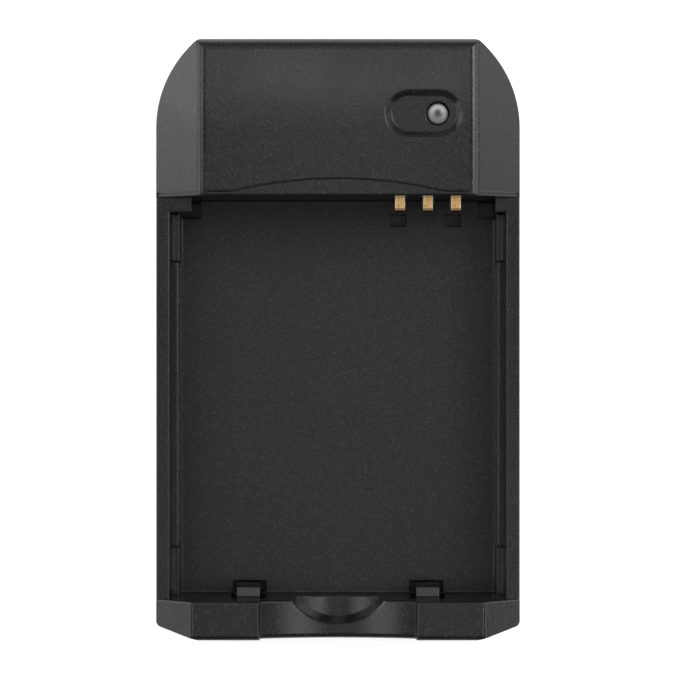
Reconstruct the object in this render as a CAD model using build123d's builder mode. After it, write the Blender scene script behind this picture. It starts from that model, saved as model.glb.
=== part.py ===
from build123d import *
import math
import os

os.makedirs("parts", exist_ok=True)

# Camera battery charger, a cradle with a raised head, in millimetres.
# X runs across the cradle, +Y towards the head, +Z up, and the origin is the middle of the underside.

# Outline of the housing, seen from above
body_width = 52.0
lip_depth = 5.5
bay_length = 57.4
head_depth = 22.3
head_corner_radius = 15.0
head_corner_turn = 55.0  # degrees of arc before the corner meets the straight back
head_corner_blend = 1.8
lip_corner_width = 6.3
lip_corner_depth = 1.75
lip_front_blend = 0.5
lip_side_blend = 0.8

# Levels above the table
parting_level = 2.0
tray_floor_top = 5.0
side_wall_top = 15.0
lip_top = 19.9
crown_top = 21.2

# Moulded walls
wall = 1.9
side_wall = 1.95  # at its top, beside the bay
side_wall_draft = 0.35
tray_floor_thickness = 1.6
base_thickness = 1.6
edge_radius = 0.3
side_edge_radius = 0.2
base_edge_chamfer = 0.4
parting_groove = 0.25

# Head and crown
facet_angle = 43.4  # degrees, the sloping flanks of the head and the lip
crown_edge_radius = 2.0
crown_fall_length = 12.6
crown_fall_radius = 113.0
crown_fall_turn = 9.0  # degrees, enough to pass the back
crown_back_radius = 1.8
ledge_width = 0.55
ledge_drop = 0.25
ledge_edge = 0.2
ledge_arc_inset = 3.6  # from the crown's side to where the arc begins
ledge_arc_reach = 1.8
ledge_arc_run_out = 8.0

# Bay for the battery pack
rib_thickness = 0.8
rib_height = 4.5
rib_length = 7.0
rib_edge = 0.15
rib_end_gap = 2.0  # between the head and the nearest ribs
tab_reach = 2.1
tab_thickness = 1.5
left_tab_width = 3.15
right_tab_width = 1.55
shutoff_length = 2.6
shutoff_left_width = 3.6
shutoff_right_width = 3.2

# Lip: thumb notch, scoop and snap hooks
lip_wall = 1.6
lip_front_radius = 0.7
lip_flank_radius = 0.8
notch_width = 22.4
notch_side_draft = 0.2
notch_step = 2.25
notch_depth = 4.0
notch_skin = 1.6
scoop_radius = 7.5
scoop_offset = 4.6  # its middle lies this far inside the bay
scoop_level = 10.3
scoop_flare = 5.5  # degrees from the vertical
scoop_floor_radius = 20.0
scoop_edge = 0.25
hook_spacing = 25.9
hook_width = 3.35
hook_reach = 1.5
hook_slit = 0.78
hook_root_level = 14.0
hook_slope_top = 11.6
hook_nose_top = 8.0
hook_nose_bottom = 6.2

# Lamp
lamp_inset = 11.9  # from the side
lamp_from_back = 10.7
lamp_diameter = 3.0
lamp_height = 5.3
lamp_flange_diameter = 3.8
lamp_flange_height = 1.0
lamp_hole_gap = 0.17
lamp_top_drop = 0.25  # below the crown
lamp_lead_size = 0.5
lamp_lead_pitch = 1.6
recess_length = 11.0
recess_width = 6.85
recess_depth = 0.8
recess_rim = 0.9
recess_offset = 1.95  # the recess's middle lies this far from the lamp, towards the centre line

# Contacts
contact_inset = 13.1  # middle contact, from the side
contact_pitch = 4.0
contact_width = 1.4
contact_thickness = 0.3
contact_reach = 2.1
contact_top = 14.1
contact_nose_drop = 5.2
contact_nose_lean = 0.5
contact_bend = 0.6
contact_window_gap = 0.3
contact_window_bottom = 6.6
floor_slot_width = 2.4
floor_slot_length = 1.75
floor_slot_gap = 2.0
carrier_depth = 3.6
carrier_gap = 0.2
carrier_end = 1.2
carrier_cover = 1.2
carrier_play = 0.1
contact_tail_inset = 1.0

# Circuit board
board_bottom = 6.0
board_thickness = 1.6
board_gap = 0.5
board_corner = 1.0
board_screw_inset = 4.8  # from the side
board_screw_from_front = 3.3  # of the head's inside
post_diameter = 4.4

# Screws, wells and bosses
case_screw_inset = 5.0  # from the side
case_screw_from_back = 8.1
boss_diameter = 4.5
well_top = 3.2
well_wall = 0.9
screw_diameter = 2.1
screw_head_diameter = 3.8
screw_head_height = 1.4
screw_head_sunk = 0.4
case_screw_length = 8.0
board_screw_length = 3.6
screw_play = 0.1
screw_bore_end = 1.0
screw_slot_width = 0.5
screw_slot_length = 2.2
screw_slot_depth = 0.7

# Rim of the lower shell that locates the upper one, and its tongues that hook into the lip's wall
rim_thickness = 1.0
rim_play = 0.12
tongue_inset = 10.0  # from the side to a tongue's middle
tongue_width = 5.0
tongue_reach = 0.7
tongue_thickness = 0.7
tongue_play = 0.12

# Power inlet
inlet_x = 0.0
inlet_width = 7.5
inlet_height = 2.5
inlet_length = 5.4
inlet_sheet = 0.3
inlet_sunk = 0.3
inlet_corner = 0.8
inlet_window_gap = 0.35
inlet_block_length = 1.4
inlet_tongue_width = 3.8
inlet_tongue_thickness = 0.6
inlet_tongue_length = 3.0
inlet_pin_count = 5
inlet_pin_pitch = 0.65
inlet_pin_width = 0.3
inlet_pin_thickness = 0.15

# Components on the board
leg_thickness = 0.2
controller_size = (4.9, 3.9, 1.5)
controller_leg_count = 4
controller_leg_size = (1.27, 0.4, 1.0)  # pitch, width and reach
transistor_size = (2.9, 1.3, 1.0)
transistor_leg_count = 2
transistor_leg_size = (1.9, 0.4, 0.6)
diode_size = (2.6, 2.8, 2.2)
diode_leg_count = 1
diode_leg_size = (1.5, 1.5, 0.8)
input_capacitor_size = (3.5, 2.8, 1.9)
inductor_size = 6.0
inductor_height = 3.2
winding_outer_diameter = 5.0
winding_inner_diameter = 2.9
winding_depth = 0.6
can_diameter = 4.3
can_corner = 0.9
can_seat_height = 0.6
can_height = 4.8
resistor_size = (1.6, 0.8, 0.45)
chip_capacitor_size = (2.0, 1.25, 0.9)

# Middles of the components: across from the centre line, and in from the back
controller_from_back = (-3.0, 11.6)
transistor_from_back = (3.2, 11.1)
diode_from_back = (8.6, 5.4)
input_capacitor_from_back = (-7.5, 5.6)
inductor_from_back = (-11.0, 11.6)
resistors_from_back = ((12.5, 6.2), (12.5, 4.6))
chip_capacitors_from_back = ((0.6, 11.0), (3.8, 7.6), (-13.0, 5.6))

# The same, in from the head's front wall
resistors_from_front = ((-6.6, 2.0), (-6.6, 3.4), (-6.6, 4.8))
chip_capacitors_from_front = ((0.6, 3.8),)

# Two that keep their distance from a side as well: the can from the left, a resistor from the right
can_inset = 9.2
can_from_front = 3.6
side_resistor_inset = 7.7
side_resistor_from_back = 11.7

# Places that follow from the sizes above
body_length = lip_depth + bay_length + head_depth
half_width = body_width / 2
front = -body_length / 2
back = body_length / 2
bay_front = front + lip_depth
bay_back = bay_front + bay_length
head_inside_front = bay_back + wall
bay_top_width = body_width - 2 * side_wall
bay_floor_width = bay_top_width - 2 * side_wall_draft
corner_start = back - head_corner_radius * math.sin(math.radians(head_corner_turn))
facet_slope = math.tan(math.radians(facet_angle))
crown_half_width = half_width - (crown_top - side_wall_top) / facet_slope
lip_half_width = half_width - (lip_top - side_wall_top) / facet_slope
fall_start = back - crown_fall_length
crown_fall = crown_fall_radius - math.sqrt(crown_fall_radius**2 - crown_fall_length**2)
board_top = board_bottom + board_thickness
tray_underside = tray_floor_top - tray_floor_thickness
hook_places = (-hook_spacing / 2, hook_spacing / 2)
contact_middle_x = half_width - contact_inset
contact_places = [contact_middle_x + contact_pitch * step for step in (-1, 0, 1)]
contact_names = ("left", "middle", "right")
lamp_x = half_width - lamp_inset
lamp_y = back - lamp_from_back
case_screw_x = half_width - case_screw_inset
case_screw_y = back - case_screw_from_back
tongue_places = (tongue_inset - half_width, half_width - tongue_inset)
board_screw_x = half_width - board_screw_inset
board_screw_y = head_inside_front + board_screw_from_front
case_screw_places = [(-case_screw_x, case_screw_y), (case_screw_x, case_screw_y)]
board_screw_places = [(-board_screw_x, board_screw_y), (board_screw_x, board_screw_y)]
screw_seat = screw_head_sunk + screw_head_height
lamp_top = crown_top - lamp_top_drop
lamp_bottom = lamp_top - lamp_height


def from_back(*spots):
    # Places on the board that keep their distance from the back of the housing.
    return [(across, back - inward) for across, inward in spots]


def from_front(*spots):
    # Places on the board that keep their distance from the head's front wall.
    return [(across, head_inside_front + inward) for across, inward in spots]


controller_place, transistor_place = from_back(controller_from_back, transistor_from_back)
diode_place, input_capacitor_place = from_back(diode_from_back, input_capacitor_from_back)
inductor_place = from_back(inductor_from_back)[0]
can_place = (can_inset - half_width, head_inside_front + can_from_front)
side_resistor_place = (half_width - side_resistor_inset, back - side_resistor_from_back)
resistor_places = from_front(*resistors_from_front) + from_back(*resistors_from_back) + [side_resistor_place]
chip_capacitor_places = from_front(*chip_capacitors_from_front) + from_back(*chip_capacitors_from_back)


def finish(builder, name):
    # Labels a finished piece and writes it under its own name.
    builder.part.label = name
    export_step(builder.part, f"parts/{name}.step")


# Outline with plain corners, which the inner faces of the walls follow
with BuildSketch() as plain_outline:
    with BuildLine():
        side = Polyline(
            (half_width - lip_corner_width, front),
            (half_width, front + lip_corner_depth),
            (half_width, corner_start),
        )
        corner = JernArc(side @ 1, (0, 1), head_corner_radius, head_corner_turn)
        mirror(about=Plane.YZ)
        Line((-(corner @ 1).X, back), corner @ 1)
        Line((-(side @ 0).X, front), side @ 0)
    make_face()

# Outline with its blended corners
with BuildSketch() as outline:
    add(plain_outline.sketch_local)
    fillet(outline.vertices().group_by(Axis.Y)[-1], head_corner_blend)
    fillet(outline.vertices().group_by(Axis.Y)[0], lip_front_blend)
    fillet(outline.vertices().sort_by_distance((half_width, front + lip_corner_depth))[0], lip_side_blend)
    fillet(outline.vertices().sort_by_distance((-half_width, front + lip_corner_depth))[0], lip_side_blend)

with BuildSketch() as wall_inside:
    add(plain_outline.sketch_local)
    offset(amount=-wall, kind=Kind.INTERSECTION)

# Roof seen from the lip, where the crown begins to fall: a flat crown between two sloping flanks
with BuildSketch(Plane.XZ.offset(-fall_start)) as plain_roof:
    with BuildLine():
        Polyline(
            (-half_width, 0),
            (-half_width, side_wall_top),
            (-crown_half_width, crown_top),
            (crown_half_width, crown_top),
            (half_width, side_wall_top),
            (half_width, 0),
            close=True,
        )
    make_face()

with BuildSketch(Plane.XZ.offset(-fall_start)) as roof_section:
    add(plain_roof.sketch_local)
    fillet(roof_section.vertices().group_by(Axis.Y)[-1], crown_edge_radius)

with BuildSketch(Plane.XZ.offset(-fall_start)) as roof_inside_section:
    add(plain_roof.sketch_local)
    offset(amount=-wall, kind=Kind.INTERSECTION)

# The same roof, lower by the drop of the narrow ledge along its front
with BuildSketch(Plane.XZ.offset(-fall_start)) as ledge_section:
    add(plain_roof.sketch_local)
    offset(amount=-ledge_drop, kind=Kind.INTERSECTION)
    fillet(ledge_section.vertices().group_by(Axis.Y)[-1], crown_edge_radius)

# Lip seen from the front, and from the side
with BuildSketch(Plane.XZ) as lip_section:
    with BuildLine():
        Polyline(
            (-half_width, 0),
            (-half_width, side_wall_top),
            (-lip_half_width, lip_top),
            (lip_half_width, lip_top),
            (half_width, side_wall_top),
            (half_width, 0),
            close=True,
        )
    make_face()
    fillet(lip_section.vertices().group_by(Axis.Y)[-1], lip_flank_radius)

with BuildSketch(Plane.YZ) as lip_profile:
    with BuildLine():
        Polyline((front, 0), (front, lip_top), (bay_front, lip_top), (bay_front, 0), close=True)
    make_face()
    fillet(lip_profile.vertices().sort_by_distance((front, lip_top))[0], lip_front_radius)

# Head seen from the side: its back edge is rounded above the falling crown
with BuildSketch(Plane.YZ) as head_profile:
    with BuildLine():
        Polyline(
            (fall_start, crown_top),
            (bay_back, crown_top),
            (bay_back, 0),
            (back, 0),
            (back, crown_top - crown_fall),
        )
        RadiusArc((fall_start, crown_top), (back, crown_top - crown_fall), crown_fall_radius)
    make_face()
    fillet(head_profile.vertices().sort_by_distance((back, crown_top - crown_fall))[0], crown_back_radius)

# Cross section of the bay: side walls with a little draft, open above them
with BuildSketch(Plane.XZ.offset(-bay_back)) as bay_section:
    with BuildLine():
        Polyline(
            (-body_width, side_wall_top),
            (-bay_top_width / 2, side_wall_top),
            (-bay_floor_width / 2, tray_floor_top),
            (bay_floor_width / 2, tray_floor_top),
            (bay_top_width / 2, side_wall_top),
            (body_width, side_wall_top),
            (body_width, crown_top),
            (-body_width, crown_top),
            close=True,
        )
    make_face()
    fillet(bay_section.vertices().sort_by_distance((-bay_top_width / 2, side_wall_top))[0], edge_radius)
    fillet(bay_section.vertices().sort_by_distance((bay_top_width / 2, side_wall_top))[0], edge_radius)

# Roof of the head, level at the front and turned about a low axis where the crown falls
fall_axis = Axis((0, fall_start, crown_top - crown_fall_radius), (1, 0, 0))
with BuildPart() as roof_form:
    extrude(roof_section.sketch, amount=body_length)
    revolve(roof_section.sketch, axis=fall_axis, revolution_arc=-crown_fall_turn)

# Narrow ledge along the head's front, which widens to a flat arc in the middle
ledge_back = bay_back + ledge_width
arc_turn = 2 * math.degrees(math.atan(ledge_arc_reach / (crown_half_width - ledge_arc_inset)))
arc_radius = (crown_half_width - ledge_arc_inset) / math.sin(math.radians(arc_turn)) - ledge_arc_run_out
with BuildPart() as under_ledge:
    extrude(ledge_section.sketch, amount=body_length, both=True)
with BuildPart() as ledge_form:
    with BuildSketch(Plane.XY.offset(side_wall_top)):
        with BuildLine():
            straight = Line((-body_width, ledge_back), (ledge_arc_inset - crown_half_width, ledge_back))
            rise = JernArc(straight @ 1, (1, 0), ledge_arc_run_out, arc_turn)
            JernArc(rise @ 1, rise % 1, arc_radius, -arc_turn)
            mirror(about=Plane.YZ)
            Polyline(
                (-body_width, ledge_back),
                (-body_width, bay_back - lip_depth),
                (body_width, bay_back - lip_depth),
                (body_width, ledge_back),
            )
        make_face()
    extrude(amount=crown_top - side_wall_top)
    add(under_ledge.part, mode=Mode.SUBTRACT)

# Head, with the ledge's upper edge bevelled and the front edge rounded
with BuildPart() as head_form:
    with BuildSketch(Plane.XY.offset(parting_level)):
        add(outline.sketch_local)
    extrude(amount=crown_top - parting_level)
    add(roof_form.part, mode=Mode.INTERSECT)
    extrude(head_profile.sketch, amount=body_width, both=True, mode=Mode.INTERSECT)
    add(ledge_form.part, mode=Mode.SUBTRACT)
    riser_edges = head_form.edges().filter_by_position(
        Axis.Y, ledge_back - ledge_edge, ledge_back + ledge_arc_reach + ledge_edge
    )
    upper_edges = riser_edges.filter_by(
        lambda edge: under_ledge.part.distance_to(edge.position_at(0.5)) > ledge_edge
    )
    chamfer(upper_edges, ledge_edge)
    front_edges = head_form.faces().sort_by(Axis.Y)[0].edges().filter_by_position(
        Axis.Z, side_wall_top, crown_top, inclusive=(False, True)
    )
    fillet(front_edges, edge_radius)

# Hollow under the head
with BuildPart() as roof_hollow:
    extrude(roof_inside_section.sketch, amount=body_length)
    revolve(roof_inside_section.sketch, axis=fall_axis, revolution_arc=-crown_fall_turn)

with BuildPart() as head_hollow:
    with BuildSketch(Plane.XY.offset(parting_level)):
        add(wall_inside.sketch_local)
        with Locations((0, head_inside_front)):
            Rectangle(body_width, body_length, align=(Align.CENTER, Align.MIN), mode=Mode.INTERSECT)
    extrude(amount=crown_top - parting_level)
    add(roof_hollow.part, mode=Mode.INTERSECT)

# Scoop: a round pocket in the middle of the notch, open to the bay, with a hollowed floor
with BuildPart() as scoop_form:
    with BuildSketch(Plane.XY.offset(scoop_level)):
        with Locations((0, bay_front + scoop_offset)):
            Circle(scoop_radius)
    extrude(amount=lip_top - scoop_level, taper=-scoop_flare)
    with BuildSketch(Plane.XZ.offset(-bay_front - scoop_offset)):
        with Locations((0, scoop_level + scoop_floor_radius)):
            Circle(scoop_floor_radius)
    extrude(amount=2 * scoop_radius, mode=Mode.INTERSECT)

# Lip, with a thumb notch that has a shallow curved floor
notch_foot = notch_width / 2 - notch_side_draft
with BuildPart() as lip_form:
    with BuildSketch(Plane.XY.offset(parting_level)):
        add(outline.sketch_local)
    extrude(amount=lip_top - parting_level)
    extrude(lip_section.sketch, amount=body_length, both=True, mode=Mode.INTERSECT)
    extrude(lip_profile.sketch, amount=body_width, both=True, mode=Mode.INTERSECT)
    inner_edges = lip_form.faces().sort_by(Axis.Y)[-1].edges().filter_by_position(
        Axis.Z, side_wall_top, lip_top, inclusive=(False, True)
    )
    fillet(inner_edges, edge_radius)
    with BuildSketch(Plane.XZ.offset(-bay_front)) as notch_section:
        with BuildLine():
            Polyline(
                (-notch_foot, lip_top - notch_step),
                (-notch_width / 2, lip_top),
                (-notch_width / 2 - edge_radius, lip_top),
                (-notch_width / 2 - edge_radius, crown_top),
                (notch_width / 2 + edge_radius, crown_top),
                (notch_width / 2 + edge_radius, lip_top),
                (notch_width / 2, lip_top),
                (notch_foot, lip_top - notch_step),
            )
            ThreePointArc(
                (notch_foot, lip_top - notch_step),
                (0, lip_top - notch_depth),
                (-notch_foot, lip_top - notch_step),
            )
        make_face()
        for side_sign in (-1, 1):
            brink = notch_section.vertices().sort_by_distance((side_sign * notch_width / 2, lip_top))[0]
            fillet(brink, side_edge_radius)
    extrude(amount=lip_depth, mode=Mode.SUBTRACT)
    notch_edges = lip_form.edges().filter_by_position(Axis.Z, lip_top - notch_depth, lip_top - notch_step)
    fillet(notch_edges.group_by(Axis.Y)[0], lip_front_radius)
    add(scoop_form.part, mode=Mode.SUBTRACT)
    scoop_brink = lip_form.edges().filter_by(GeomType.BSPLINE).sort_by(Edge.length)[-1]
    chamfer(scoop_brink, scoop_edge)
    bay_side = lip_form.faces().sort_by(Axis.Y)[-1].edges().filter_by(GeomType.CIRCLE)
    chamfer(bay_side.filter_by_position(Axis.Z, lip_top - notch_depth, lip_top - notch_step), scoop_edge)

# Hollow in the lip: tall beside the thumb notch, low behind the scoop
with BuildPart() as lip_hollow:
    with BuildSketch(Plane.XY.offset(parting_level)):
        add(wall_inside.sketch_local)
        with Locations((0, front)):
            Rectangle(body_width, lip_depth - lip_wall, align=(Align.CENTER, Align.MIN), mode=Mode.INTERSECT)
    extrude(amount=lip_top - wall - parting_level)
    add(roof_hollow.part, mode=Mode.INTERSECT)
    with BuildSketch(Plane.XY.offset(scoop_level - notch_skin)):
        with Locations((0, front)):
            Rectangle(notch_width + 2 * notch_skin, 2 * lip_depth)
    extrude(amount=lip_top, mode=Mode.SUBTRACT)

# Outside of the upper shell: the tray's block with its softened side edges, the lip and the head
with BuildPart() as outer_form:
    with BuildSketch(Plane.XY.offset(parting_level)):
        add(outline.sketch_local)
    extrude(amount=side_wall_top - parting_level)
    top_edges = outer_form.faces().sort_by(Axis.Z)[-1].edges().filter_by(Axis.Y)
    fillet(top_edges, side_edge_radius)
    add(head_form.part)
    add(lip_form.part)

# Bosses of the upper shell that the case screws bite into
with BuildPart() as case_bosses:
    with BuildSketch(Plane.XY.offset(well_top)):
        with Locations(*case_screw_places):
            Circle(boss_diameter / 2)
    extrude(amount=crown_top - wall)
    add(outer_form.part, mode=Mode.INTERSECT)

# Guide ribs low on the side walls, near the head and near the lip
with BuildPart() as guide_ribs:
    with BuildSketch(Plane.XY.offset(tray_floor_top)):
        for side_sign in (-1, 1):
            for rib_start in (bay_back - rib_end_gap - rib_length, bay_front):
                with Locations((side_sign * (bay_floor_width / 2 - rib_thickness), rib_start)):
                    Rectangle(
                        rib_thickness + side_wall_draft,
                        rib_length,
                        align=(Align.MIN if side_sign > 0 else Align.MAX, Align.MIN),
                    )
    extrude(amount=rib_height)
    chamfer(guide_ribs.faces().group_by(Axis.Z)[-1].edges(), rib_edge)

# Corner tabs at the head, bevelled, flush with the side walls' top and run into their rounded edges
with BuildPart() as corner_tabs:
    with BuildSketch(Plane.XY.offset(side_wall_top - tab_thickness)):
        with Locations((-bay_top_width / 2 - edge_radius, bay_back)):
            Rectangle(left_tab_width + edge_radius, tab_reach, align=(Align.MIN, Align.MAX))
        with Locations((bay_top_width / 2 + edge_radius, bay_back)):
            Rectangle(right_tab_width + edge_radius, tab_reach, align=(Align.MAX, Align.MAX))
    extrude(amount=tab_thickness)
    tab_top_edges = corner_tabs.edges().group_by(Axis.Z)[-1]
    tab_sides = tab_top_edges.filter_by(Axis.Y).sort_by_distance((0, bay_back, side_wall_top))[:2]
    tab_fronts = tab_top_edges.filter_by(Axis.X).group_by(Axis.Y)[0]
    chamfer(tab_sides + tab_fronts, rib_edge)

# Upper shell, one moulding: tray, side walls, lip and hood
with BuildPart() as top_case:
    add(outer_form.part)

    # Bay, rounded where its floor meets its walls
    extrude(bay_section.sketch, amount=bay_length, mode=Mode.SUBTRACT)
    floor_edges = top_case.edges().filter_by_position(Axis.Z, tray_floor_top, tray_floor_top)
    fillet(floor_edges, edge_radius)

    # Hollows
    add(head_hollow.part, mode=Mode.SUBTRACT)
    add(lip_hollow.part, mode=Mode.SUBTRACT)
    with BuildSketch(Plane.XY.offset(parting_level)):
        add(wall_inside.sketch_local)
    extrude(amount=tray_underside - parting_level, mode=Mode.SUBTRACT)

    # Bosses with their pilot bores
    add(case_bosses.part)
    with BuildSketch(Plane.XY.offset(well_top)):
        with Locations(*case_screw_places):
            Circle(screw_diameter / 2 + screw_play / 2)
    extrude(amount=case_screw_length + screw_bore_end - well_top + screw_seat, mode=Mode.SUBTRACT)

    # Oval recess round the lamp, with a sloping rim, and the lamp's hole
    with BuildSketch(Plane.XY.offset(crown_top)):
        with Locations((lamp_x - recess_offset, lamp_y)):
            SlotOverall(recess_length, recess_width)
    with BuildSketch(Plane.XY.offset(crown_top - recess_depth)):
        with Locations((lamp_x - recess_offset, lamp_y)):
            SlotOverall(recess_length - 2 * recess_rim, recess_width - 2 * recess_rim)
    loft(mode=Mode.SUBTRACT)
    with BuildSketch(Plane.XY.offset(crown_top)):
        with Locations((lamp_x, lamp_y)):
            Circle(lamp_diameter / 2 + lamp_hole_gap)
    extrude(amount=-2 * wall, mode=Mode.SUBTRACT)

    # Windows in the head's front wall that the contact springs come out of
    with BuildSketch(Plane.XZ.offset(-head_inside_front)):
        for place in contact_places:
            with Locations((place, contact_window_bottom)):
                Rectangle(
                    contact_width + 2 * contact_window_gap,
                    contact_top + contact_window_gap - contact_window_bottom,
                    align=(Align.CENTER, Align.MIN),
                )
    extrude(amount=wall, mode=Mode.SUBTRACT)

    # Slots through the tray floor under the two outer contacts
    with BuildSketch(Plane.XY.offset(tray_floor_top)):
        for place in (contact_places[0], contact_places[2]):
            with Locations((place, bay_back - floor_slot_gap)):
                Rectangle(floor_slot_width, floor_slot_length, align=(Align.CENTER, Align.MAX))
    extrude(amount=-tray_floor_thickness, mode=Mode.SUBTRACT)

    # Guide ribs and corner tabs
    add(guide_ribs.part)
    add(corner_tabs.part)

    # Openings in the floor under the tabs, which the mould needs to form them
    with BuildSketch(Plane.XY.offset(tray_floor_top)):
        with Locations((-bay_floor_width / 2, bay_back)):
            Rectangle(shutoff_left_width, shutoff_length, align=(Align.MIN, Align.MAX))
        with Locations((bay_floor_width / 2, bay_back)):
            Rectangle(shutoff_right_width, shutoff_length, align=(Align.MAX, Align.MAX))
    extrude(amount=-tray_floor_thickness, mode=Mode.SUBTRACT)

    # Lower part of the scoop, below the side walls' top
    add(scoop_form.part, mode=Mode.SUBTRACT)

    # Pockets low in the lip's wall for the lower shell's tongues
    with BuildSketch(Plane.XY.offset(well_top - tongue_thickness - tongue_play)):
        for place in tongue_places:
            with Locations((place, front + wall)):
                Rectangle(
                    tongue_width + 2 * tongue_play,
                    tongue_reach + tongue_play,
                    align=(Align.CENTER, Align.MAX),
                )
    extrude(amount=tongue_thickness + 2 * tongue_play, mode=Mode.SUBTRACT)

    # Slits and floor openings that set the two snap hooks free
    with BuildSketch(Plane.XZ.offset(-bay_front)):
        for place in hook_places:
            for side_sign in (-1, 1):
                with Locations((place + side_sign * (hook_width + hook_slit) / 2, tray_underside)):
                    Rectangle(
                        hook_slit, hook_root_level - tray_underside, align=(Align.CENTER, Align.MIN)
                    )
    extrude(amount=lip_wall, mode=Mode.SUBTRACT)
    with BuildSketch(Plane.XY.offset(tray_underside)):
        for place in hook_places:
            with Locations((place, bay_front)):
                Rectangle(
                    hook_width + 2 * hook_slit,
                    hook_reach + edge_radius,
                    align=(Align.CENTER, Align.MIN),
                )
    extrude(amount=tray_floor_thickness, mode=Mode.SUBTRACT)

    # Hook noses, with the long slope that the pack slides down
    for place in hook_places:
        with BuildSketch(Plane.YZ.offset(place)):
            with BuildLine():
                Polyline(
                    (bay_front, hook_slope_top),
                    (bay_front + hook_reach, hook_nose_top),
                    (bay_front + hook_reach, hook_nose_bottom),
                    (bay_front, tray_floor_top),
                    close=True,
                )
            make_face()
        extrude(amount=hook_width / 2, both=True)

    # Window for the power inlet in the back wall
    with BuildSketch(Plane.XZ.offset(-back)):
        with Locations((inlet_x, board_top + inlet_height / 2)):
            RectangleRounded(
                inlet_width + 2 * inlet_window_gap,
                inlet_height + 2 * inlet_window_gap,
                inlet_corner,
            )
    extrude(amount=wall, mode=Mode.SUBTRACT)

finish(top_case, "top_case")

# Lower shell, a pan with a locating rim, two tongues, screw wells and board posts
with BuildSketch() as rim_outside:
    add(plain_outline.sketch_local)
    offset(amount=-wall - rim_play, kind=Kind.INTERSECTION)
with BuildSketch() as rim_inside:
    add(plain_outline.sketch_local)
    offset(amount=-wall - rim_play - rim_thickness, kind=Kind.INTERSECTION)

with BuildPart() as bottom_case:
    with BuildSketch():
        add(outline.sketch_local)
    extrude(amount=parting_level)
    chamfer(bottom_case.faces().sort_by(Axis.Z)[0].edges(), base_edge_chamfer)
    chamfer(bottom_case.faces().sort_by(Axis.Z)[-1].edges(), parting_groove)

    # Raised rim, and the hollow inside it
    with BuildSketch(Plane.XY.offset(parting_level)):
        add(rim_outside.sketch_local)
    extrude(amount=well_top - parting_level)
    with BuildSketch(Plane.XY.offset(base_thickness)):
        add(rim_inside.sketch_local)
    extrude(amount=well_top - base_thickness, mode=Mode.SUBTRACT)

    # Tongues on the rim's front
    with BuildSketch(Plane.XY.offset(well_top - tongue_thickness)):
        for place in tongue_places:
            with Locations((place, front + wall + rim_play)):
                Rectangle(tongue_width, tongue_reach + rim_play, align=(Align.CENTER, Align.MAX))
    extrude(amount=tongue_thickness)

    # Wells for the case screws, kept inside the rim, and posts for the board
    with BuildSketch(Plane.XY.offset(base_thickness)):
        with Locations(*case_screw_places):
            Circle(screw_head_diameter / 2 + screw_play + well_wall)
        add(rim_outside.sketch_local, mode=Mode.INTERSECT)
    extrude(amount=well_top - base_thickness)
    with BuildSketch(Plane.XY.offset(base_thickness)):
        with Locations(*board_screw_places):
            Circle(post_diameter / 2)
        add(rim_outside.sketch_local, mode=Mode.INTERSECT)
    extrude(amount=board_bottom - base_thickness)

    # Counterbores from below, and blind bores in the posts
    with Locations(*[Plane((x, y, 0), z_dir=(0, 0, -1)) for x, y in case_screw_places]):
        CounterBoreHole(
            screw_diameter / 2 + screw_play,
            screw_head_diameter / 2 + screw_play,
            screw_seat,
            depth=well_top,
        )
    with Locations(*[(x, y, board_bottom) for x, y in board_screw_places]):
        Hole(screw_diameter / 2 + screw_play / 2, depth=board_bottom - base_thickness)

finish(bottom_case, "bottom_case")

# Circuit board, which follows the inside of the head and clears the bosses
with BuildPart() as circuit_board:
    with BuildSketch(Plane.XY.offset(board_bottom)) as board_outline:
        add(plain_outline.sketch_local)
        offset(amount=-wall - board_gap, kind=Kind.INTERSECTION)
        with Locations((0, head_inside_front + board_gap)):
            Rectangle(body_width, body_length, align=(Align.CENTER, Align.MIN), mode=Mode.INTERSECT)
        fillet(board_outline.vertices().group_by(Axis.Y)[0], board_corner)
        with Locations(*case_screw_places):
            Circle(boss_diameter / 2 + board_gap, mode=Mode.SUBTRACT)
        with Locations(*board_screw_places):
            Circle(screw_diameter / 2 + screw_play, mode=Mode.SUBTRACT)
    extrude(amount=board_thickness)

finish(circuit_board, "circuit_board")


def pan_head_screws(name, places, seat, length, up):
    # Head on the seat, shank on the other side of it, one cross slot; up is +1 or -1 for the shank.
    with BuildPart() as screws:
        with BuildSketch(Plane.XY.offset(seat)):
            with Locations(*places):
                Circle(screw_diameter / 2)
        extrude(amount=up * length)
        with BuildSketch(Plane.XY.offset(seat)):
            with Locations(*places):
                Circle(screw_head_diameter / 2)
        extrude(amount=-up * screw_head_height)
        with BuildSketch(Plane.XY.offset(seat - up * screw_head_height)):
            with Locations(*places):
                Rectangle(screw_slot_length, screw_slot_width)
                Rectangle(screw_slot_width, screw_slot_length)
        extrude(amount=up * screw_slot_depth, mode=Mode.SUBTRACT)
    finish(screws, name)


pan_head_screws("case_screws", case_screw_places, screw_seat, case_screw_length, 1)
pan_head_screws("board_screws", board_screw_places, board_top, board_screw_length, -1)

# Block that holds the three springs on the board, open towards the windows
carrier_front = head_inside_front + carrier_gap
tail_y = carrier_front + carrier_depth - contact_tail_inset
carrier_width = 2 * contact_pitch + contact_width + 2 * carrier_end
with BuildPart() as contact_carrier:
    with BuildSketch(Plane.XY.offset(board_top)):
        with Locations((contact_middle_x, carrier_front)):
            Rectangle(carrier_width, carrier_depth, align=(Align.CENTER, Align.MIN))
    extrude(amount=contact_top + carrier_play + carrier_cover - board_top)
    chamfer(contact_carrier.faces().sort_by(Axis.Z)[-1].edges(), edge_radius)
    with BuildSketch(Plane.XY.offset(board_top)):
        for place in contact_places:
            with Locations((place, carrier_front)):
                Rectangle(
                    contact_width + 2 * carrier_play,
                    tail_y + contact_thickness / 2 + carrier_play - carrier_front,
                    align=(Align.CENTER, Align.MIN),
                )
    extrude(amount=contact_top + carrier_play - board_top, mode=Mode.SUBTRACT)

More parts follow.
